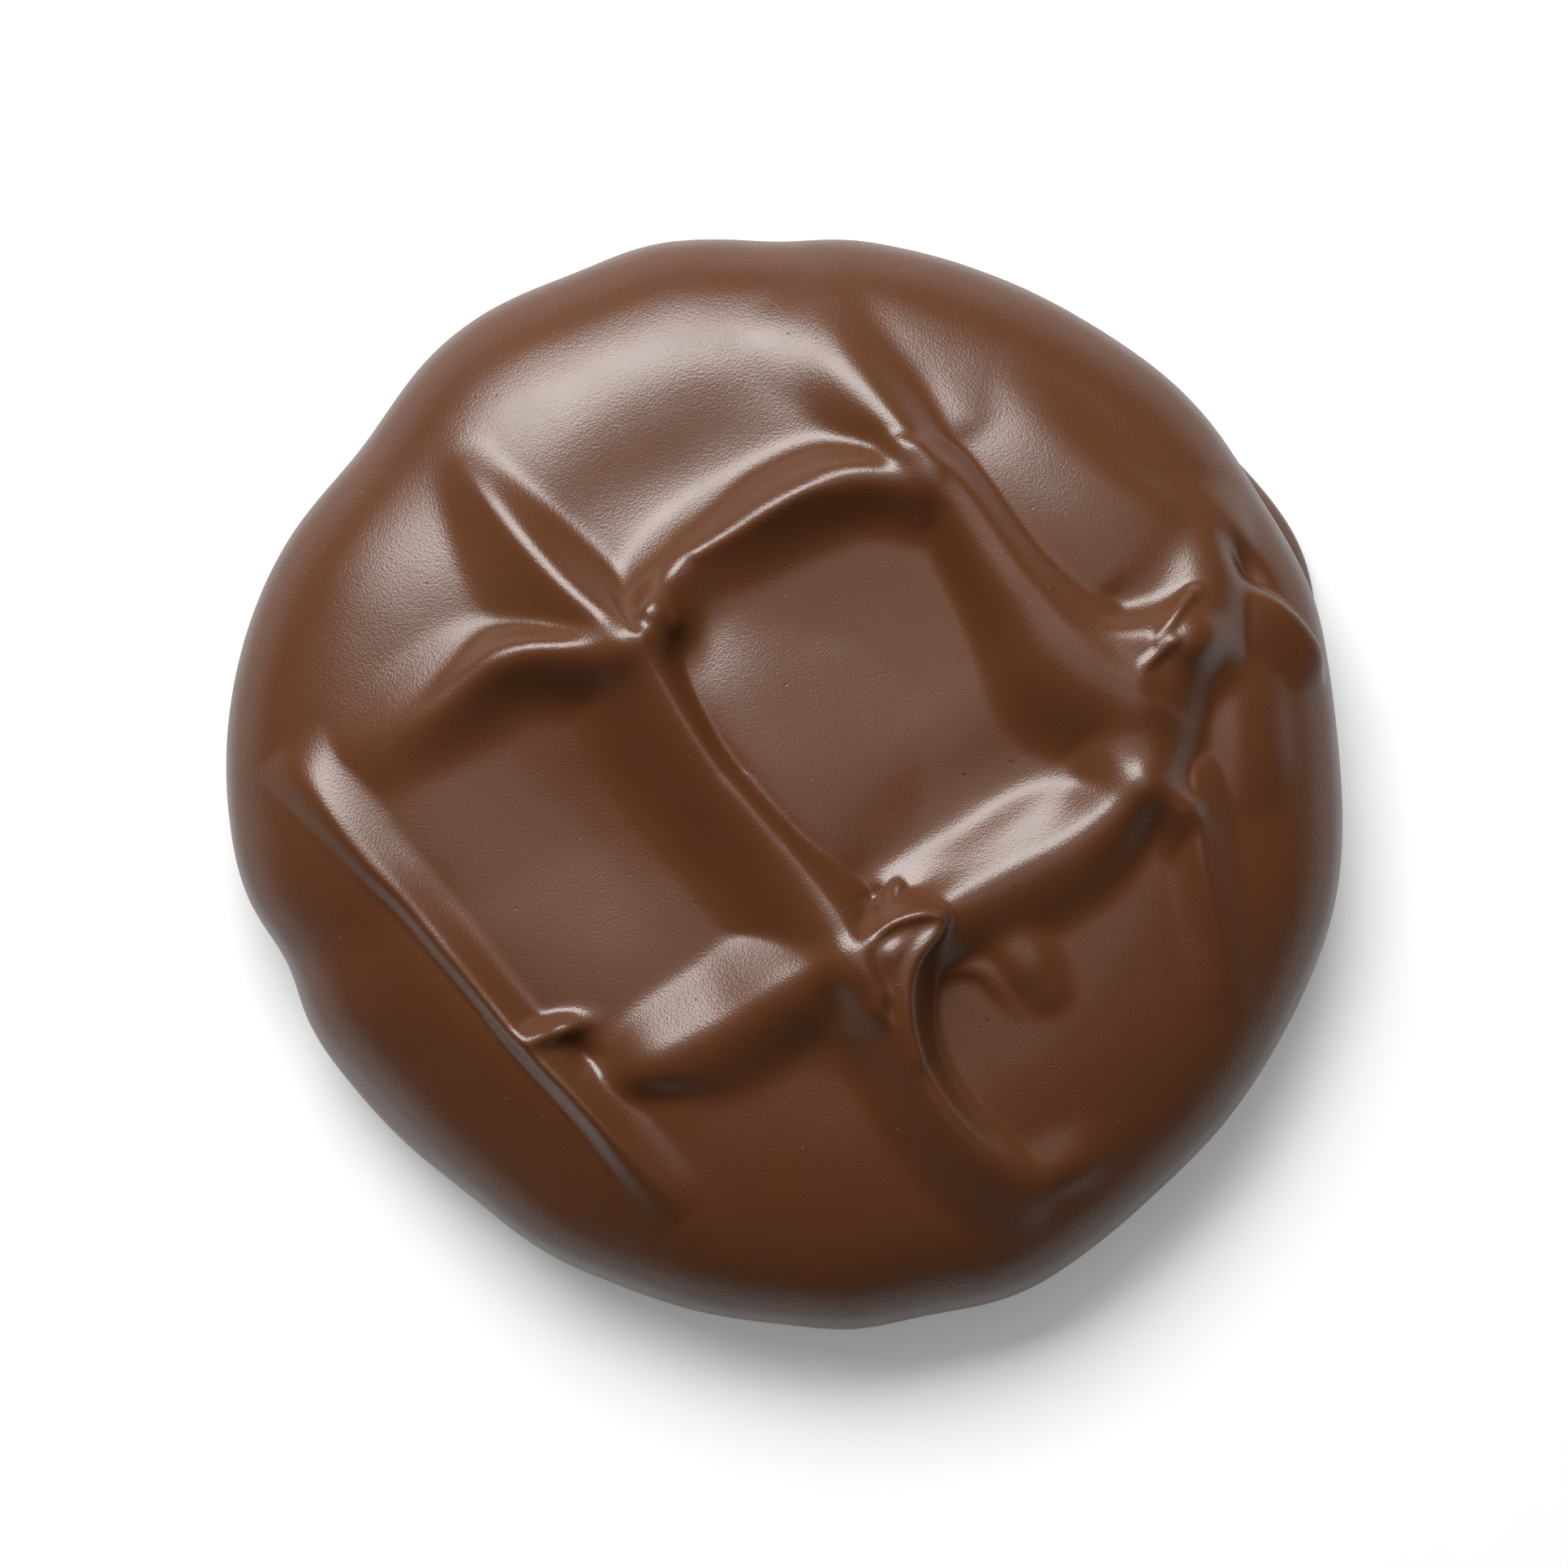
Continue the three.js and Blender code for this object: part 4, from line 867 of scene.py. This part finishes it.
def milk_chocolate(finish):
    """Set milk chocolate: brown with faint clouds, fine grain, pale specks and pores with painted
    shade.
    """
    material = bpy.data.materials.new("milk chocolate")
    material.use_nodes = True
    tree = material.node_tree
    shader = tree.nodes["Principled BSDF"]
    place = tree.nodes.new("ShaderNodeTexCoord").outputs["Object"]

    clouds = ramp(tree, noise_fac(tree, place, finish.cloud_size), CLOUD_LOW, CLOUD_HIGH, 0.0, 1.0)
    tone = mixed_tone(tree, clouds, finish.tone, finish.deep_tone)
    pores = dots(tree, place, finish.pore_spacing, finish.pore_radius, PORES_KEPT)
    speck_spacing = finish.pore_spacing * SPECK_SPACING_SHARE
    specks = dots(tree, place, speck_spacing, finish.pore_radius * SPECK_RADIUS_SHARE, SPECKS_KEPT)
    # Painted shade: each pore is coloured darker, as shade falls into the small pit.
    tone = mixed_tone(tree, calculate(tree, "MULTIPLY", pores, PORE_SHADE_TINT), tone, finish.pore_shade_tone)
    tone = mixed_tone(tree, calculate(tree, "MULTIPLY", specks, SPECK_TINT), tone, finish.speck_tone)
    connect(tree, tone, shader.inputs["Base Color"])

    noise = noise_fac(tree, place, finish.cloud_size * GLOSS_CLOUD_SHARE)
    gloss = ramp(tree, noise, CLOUD_LOW, CLOUD_HIGH, finish.gloss_low, finish.gloss_high)
    side = side_share(tree, place, finish)
    duller = calculate(tree, "MULTIPLY", side, finish.side_dullness)
    connect(tree, calculate(tree, "ADD", gloss, duller), shader.inputs["Roughness"])
    shader.inputs["IOR"].default_value = REFRACTION

    grain = noise_fac(tree, place, finish.grain_size, detail=1.0)
    height = calculate(tree, "SUBTRACT", grain, calculate(tree, "MULTIPLY", pores, PORE_DEPTH))
    bump = add_node(tree, "ShaderNodeBump", {"Distance": finish.grain_depth})
    strength = ramp(tree, side, 0.0, 1.0, finish.grain_strength, finish.side_grain)
    connect(tree, strength, bump.inputs["Strength"])
    connect(tree, height, bump.inputs["Height"])
    connect(tree, bump.outputs["Normal"], shader.inputs["Normal"])
    return material


def floor_finish(studio):
    """Matt pale paper with a faint fibre and a painted glow that lightens the shadow on it."""
    material = bpy.data.materials.new("pale floor")
    material.use_nodes = True
    tree = material.node_tree
    shader = tree.nodes["Principled BSDF"]
    place = tree.nodes.new("ShaderNodeTexCoord").outputs["Object"]
    fibre = noise_fac(tree, place, FIBRE_SIZE)
    pale = tuple(studio.floor_tone)
    shade = tuple(FIBRE_SHADE * part for part in pale)
    connect(tree, mixed_tone(tree, fibre, pale, shade), shader.inputs["Base Color"])
    shader.inputs["Roughness"].default_value = FLOOR_ROUGHNESS
    # Painted light: the floor glows in its own tone, which lightens the shadow on it and lights the
    # side of the patty.
    shader.inputs["Emission Color"].default_value = (*pale, 1.0)
    shader.inputs["Emission Strength"].default_value = studio.floor_painted_glow
    return material


def area_light(name, bearing, from_zenith, box, power):
    """A soft box that looks at the middle of the piece."""
    distance, width, depth = box
    light = bpy.data.lights.new(name, "AREA")
    light.shape = "RECTANGLE"
    light.size = width
    light.size_y = depth
    light.energy = power
    lamp = bpy.data.objects.new(name, light)
    bpy.context.scene.collection.objects.link(lamp)
    level = math.sin(from_zenith)
    direction = Vector((level * math.cos(bearing), level * math.sin(bearing), math.cos(from_zenith)))
    target = (PATTY_LOW + PATTY_HIGH) / 2
    lamp.location = target + direction * distance
    lamp.rotation_euler = (-direction).to_track_quat("-Z", "Y").to_euler()


def white_room(strength):
    """Even faint light from all round, with a pale background behind the floor."""
    world = bpy.data.worlds.new("pale room")
    world.use_nodes = True
    tree = world.node_tree
    background = tree.nodes["Background"]
    background.inputs["Color"].default_value = (1.0, 1.0, 1.0, 1.0)
    seen = tree.nodes.new("ShaderNodeLightPath").outputs["Is Camera Ray"]
    amount = ramp(tree, seen, 0.0, 1.0, strength, BACKGROUND_STRENGTH)
    connect(tree, amount, background.inputs["Strength"])
    bpy.context.scene.world = world


class PattySizes(bpy.types.PropertyGroup):
    """Sizes of the patty and of its mesh."""

    radius: FloatProperty(
        name="Radius",
        description="Mean radius of the outline seen from above",
        default=OUTLINE_RADIUS * MM,
        min=0.005,
        precision=5,
        unit="LENGTH",
    )
    body_height: FloatProperty(
        name="Body height",
        description="Height of the dome in the middle, without the ridges",
        default=BODY_HEIGHT * MM,
        min=0.002,
        precision=5,
        unit="LENGTH",
    )
    relief_share: FloatProperty(
        name="Relief",
        description="Height of ridges and hollows as a share of the modelled height",
        default=1.0,
        min=0.0,
        max=1.5,
        subtype="FACTOR",
    )
    top_rings: IntProperty(
        name="Top rings",
        description="Rings of the mesh from the middle to the shoulder",
        default=124,
        min=8,
    )
    side_rings: IntProperty(
        name="Side rings",
        description="Rings of the mesh from the shoulder to the foot",
        default=31,
        min=4,
    )
    swell_height: FloatProperty(
        name="Swell height",
        description="Height of the broad unevenness of the coat",
        default=0.03 * MM,
        precision=6,
        unit="LENGTH",
    )
    swell_size: FloatProperty(
        name="Swell size",
        description="Width of the broad unevenness of the coat",
        default=4.0 * MM,
        precision=5,
        unit="LENGTH",
    )
    ripple_height: FloatProperty(
        name="Ripple height",
        description="Height of the small unevenness of the coat",
        default=0.004 * MM,
        precision=6,
        unit="LENGTH",
    )
    ripple_size: FloatProperty(
        name="Ripple size",
        description="Width of the small unevenness of the coat",
        default=1.1 * MM,
        precision=5,
        unit="LENGTH",
    )
    seed: IntProperty(
        name="Seed",
        description="Number that fixes the pattern of the unevenness",
        default=7,
    )


class CoatFinish(bpy.types.PropertyGroup):
    """Colours and fine surface of the milk chocolate."""

    tone: FloatVectorProperty(
        name="Tone",
        description="Main brown of the coat",
        default=(0.072, 0.0245, 0.0088),
        min=0.0,
        max=1.0,
        subtype="COLOR",
    )
    deep_tone: FloatVectorProperty(
        name="Deep tone",
        description="Slightly deeper brown in faint clouds",
        default=(0.066, 0.0222, 0.0078),
        min=0.0,
        max=1.0,
        subtype="COLOR",
    )
    # Painted shade: the dark colour inside the pores stands in for the shade in the pits.
    pore_shade_tone: FloatVectorProperty(
        name="Pore tone",
        description="Colour inside the small pores",
        default=(0.018, 0.007, 0.003),
        min=0.0,
        max=1.0,
        subtype="COLOR",
    )
    speck_tone: FloatVectorProperty(
        name="Speck tone",
        description="Colour of the pale specks",
        default=(0.2, 0.1, 0.06),
        min=0.0,
        max=1.0,
        subtype="COLOR",
    )
    cloud_size: FloatProperty(
        name="Cloud size",
        description="Width of the faint clouds of deeper tone",
        default=5.0 * MM,
        precision=5,
        unit="LENGTH",
    )
    pore_spacing: FloatProperty(
        name="Pore spacing",
        description="Mean distance between places for a pore",
        default=0.9 * MM,
        precision=5,
        unit="LENGTH",
    )
    pore_radius: FloatProperty(
        name="Pore radius",
        description="Radius of a pore",
        default=0.08 * MM,
        precision=6,
        unit="LENGTH",
    )
    grain_size: FloatProperty(
        name="Grain size",
        description="Width of the fine grain of the surface",
        default=0.095 * MM,
        precision=6,
        unit="LENGTH",
    )
    grain_depth: FloatProperty(
        name="Grain depth",
        description="Depth of the fine grain of the surface",
        default=0.06 * MM,
        precision=6,
        unit="LENGTH",
    )
    grain_strength: FloatProperty(
        name="Grain strength",
        description="Share of the grain that shows",
        default=0.19,
        min=0.0,
        max=1.0,
        subtype="FACTOR",
    )
    side_top: FloatProperty(
        name="Side top",
        description="Height below which the coat is duller and coarser",
        default=7.6 * MM,
        precision=5,
        unit="LENGTH",
    )
    side_edge: FloatProperty(
        name="Side edge",
        description="Height over which the coat turns duller",
        default=1.6 * MM,
        precision=5,
        unit="LENGTH",
    )
    side_grain: FloatProperty(
        name="Side grain",
        description="Share of the grain that shows on the side",
        default=0.38,
        min=0.0,
        max=1.0,
        subtype="FACTOR",
    )
    side_dullness: FloatProperty(
        name="Side dullness",
        description="Roughness added on the side",
        default=0.04,
        min=0.0,
        max=1.0,
        subtype="FACTOR",
    )
    gloss_low: FloatProperty(
        name="Lowest roughness",
        description="Roughness where the coat shines most",
        default=0.28,
        min=0.0,
        max=1.0,
        subtype="FACTOR",
    )
    gloss_high: FloatProperty(
        name="Highest roughness",
        description="Roughness where the coat shines least",
        default=0.33,
        min=0.0,
        max=1.0,
        subtype="FACTOR",
    )


class StudioSettings(bpy.types.PropertyGroup):
    """Floor, lights and camera."""

    floor_tone: FloatVectorProperty(
        name="Floor tone",
        description="Colour of the pale floor",
        default=(0.53, 0.53, 0.53),
        min=0.0,
        max=1.0,
        subtype="COLOR",
    )
    # Painted light: a glow of the floor that lightens its shadow and lights the side of the patty.
    floor_painted_glow: FloatProperty(
        name="Floor glow",
        description="Light that shines through the pale floor from below",
        default=0.4,
        min=0.0,
    )
    floor_radius: FloatProperty(
        name="Floor radius",
        description="Radius of the round floor",
        default=1.5,
        min=0.1,
        unit="LENGTH",
    )
    key_power: FloatProperty(
        name="Key power",
        description="Power of the large soft box in watts",
        default=5.4,
        min=0.0,
    )
    key_bearing: FloatProperty(
        name="Key bearing",
        description="Bearing of the large soft box from X",
        default=math.radians(111),
        subtype="ANGLE",
    )
    key_from_zenith: FloatProperty(
        name="Key angle",
        description="Angle of the large soft box from straight above",
        default=math.radians(42),
        subtype="ANGLE",
    )
    fill_power: FloatProperty(
        name="Fill power",
        description="Power of the overhead soft box in watts",
        default=1.8,
        min=0.0,
    )
    room_strength: FloatProperty(
        name="Room light",
        description="Strength of the even light from all round",
        default=0.03,
        min=0.0,
    )
    view_width: FloatProperty(
        name="View width",
        description="Width that the camera frames at the height of the coat",
        default=64.4 * MM,
        precision=4,
        unit="LENGTH",
    )


class CHOCOLATE_OT_patty(bpy.types.Operator):
    """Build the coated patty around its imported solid"""

    bl_idname = "chocolate.patty"
    bl_label = "Chocolate patty"

    def execute(self, context):
        sizes = context.scene.patty_sizes
        points = coat_points(sizes.top_rings, sizes.side_rings, sizes.relief_share)
        wide = sizes.radius / OUTLINE_RADIUS
        tall = sizes.body_height / BODY_HEIGHT
        rows = (points.reshape(-1, 3) * (wide, wide, tall)).tolist()
        patty = new_object("coated_patty", [*rows, (0.0, 0.0, 0.0)], coat_faces(len(points)))
        values = {
            "Swell Height": sizes.swell_height,
            "Swell Size": sizes.swell_size,
            "Ripple Height": sizes.ripple_height,
            "Ripple Size": sizes.ripple_size,
            "Seed": float(sizes.seed),
            "Material": milk_chocolate(context.scene.coat_finish),
        }
        apply_tree(patty, coat_finish_tree(), values)
        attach(patty, "root")
        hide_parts("chocolate_patty")
        return {"FINISHED"}


class CHOCOLATE_OT_studio(bpy.types.Operator):
    """Build the pale floor, the soft lights and the camera"""

    bl_idname = "chocolate.studio"
    bl_label = "Studio"

    def execute(self, context):
        studio = context.scene.studio_settings
        build_floor(studio)
        area_light("key soft box", studio.key_bearing, studio.key_from_zenith, KEY_BOX,
                   studio.key_power)
        area_light("overhead soft box", OVERHEAD_BEARING, OVERHEAD_FROM_ZENITH, OVERHEAD_BOX,
                   studio.fill_power)
        white_room(studio.room_strength)
        build_camera(studio)
        context.scene.view_settings.view_transform = "Standard"
        return {"FINISHED"}


def build_floor(studio):
    """A round floor just at the foot of the patty."""
    turns = np.linspace(0, 2 * math.pi, FLOOR_CORNERS, endpoint=False)
    radius = studio.floor_radius
    rim = [(radius * math.cos(turn), radius * math.sin(turn), PATTY_LOW.z) for turn in turns]
    faces = [(0, k + 1, (k + 1) % FLOOR_CORNERS + 1) for k in range(FLOOR_CORNERS)]
    floor = new_object("floor", [(0.0, 0.0, PATTY_LOW.z), *rim], faces)
    floor.data.materials.append(floor_finish(studio))


def build_camera(studio):
    """The camera looks straight down on the middle of the frame."""
    camera = bpy.data.cameras.new("camera")
    camera.lens = CAMERA_LENS
    camera.sensor_width = CAMERA_SENSOR
    holder = bpy.data.objects.new("camera", camera)
    bpy.context.scene.collection.objects.link(holder)
    holder.location = (0.0, 0.0, studio.view_width * CAMERA_LENS / CAMERA_SENSOR + FRAMED_HEIGHT)
    bpy.context.scene.camera = holder


class CHOCOLATE_PT_sidebar(bpy.types.Panel):
    """Sizes, finishes and build buttons in the sidebar of the 3D view"""

    bl_idname = "CHOCOLATE_PT_sidebar"
    bl_label = "Filled chocolate"
    bl_space_type = "VIEW_3D"
    bl_region_type = "UI"
    bl_category = "Chocolate"

    def draw(self, context):
        for settings, operator in PANEL_ROWS:
            box = self.layout.box()
            for name in settings:
                group = getattr(context.scene, name)
                for field in group.bl_rna.properties:
                    if field.identifier not in ("rna_type", "name"):
                        box.prop(group, field.identifier)
            box.operator(operator)


PANEL_ROWS = (
    (("patty_sizes", "coat_finish"), "chocolate.patty"),
    (("studio_settings",), "chocolate.studio"),
)
SETTINGS = {
    "patty_sizes": PattySizes,
    "coat_finish": CoatFinish,
    "studio_settings": StudioSettings,
}
CLASSES = (*SETTINGS.values(), CHOCOLATE_OT_patty, CHOCOLATE_OT_studio, CHOCOLATE_PT_sidebar)


def register():
    for part in CLASSES:
        bpy.utils.register_class(part)
    for name, group in SETTINGS.items():
        setattr(bpy.types.Scene, name, PointerProperty(type=group))


def unregister():
    for name in SETTINGS:
        delattr(bpy.types.Scene, name)
    for part in reversed(CLASSES):
        bpy.utils.unregister_class(part)


def main():
    """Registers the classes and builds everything."""
    register()
    bpy.ops.chocolate.patty()
    bpy.ops.chocolate.studio()


if __name__ == "__main__":
    main()
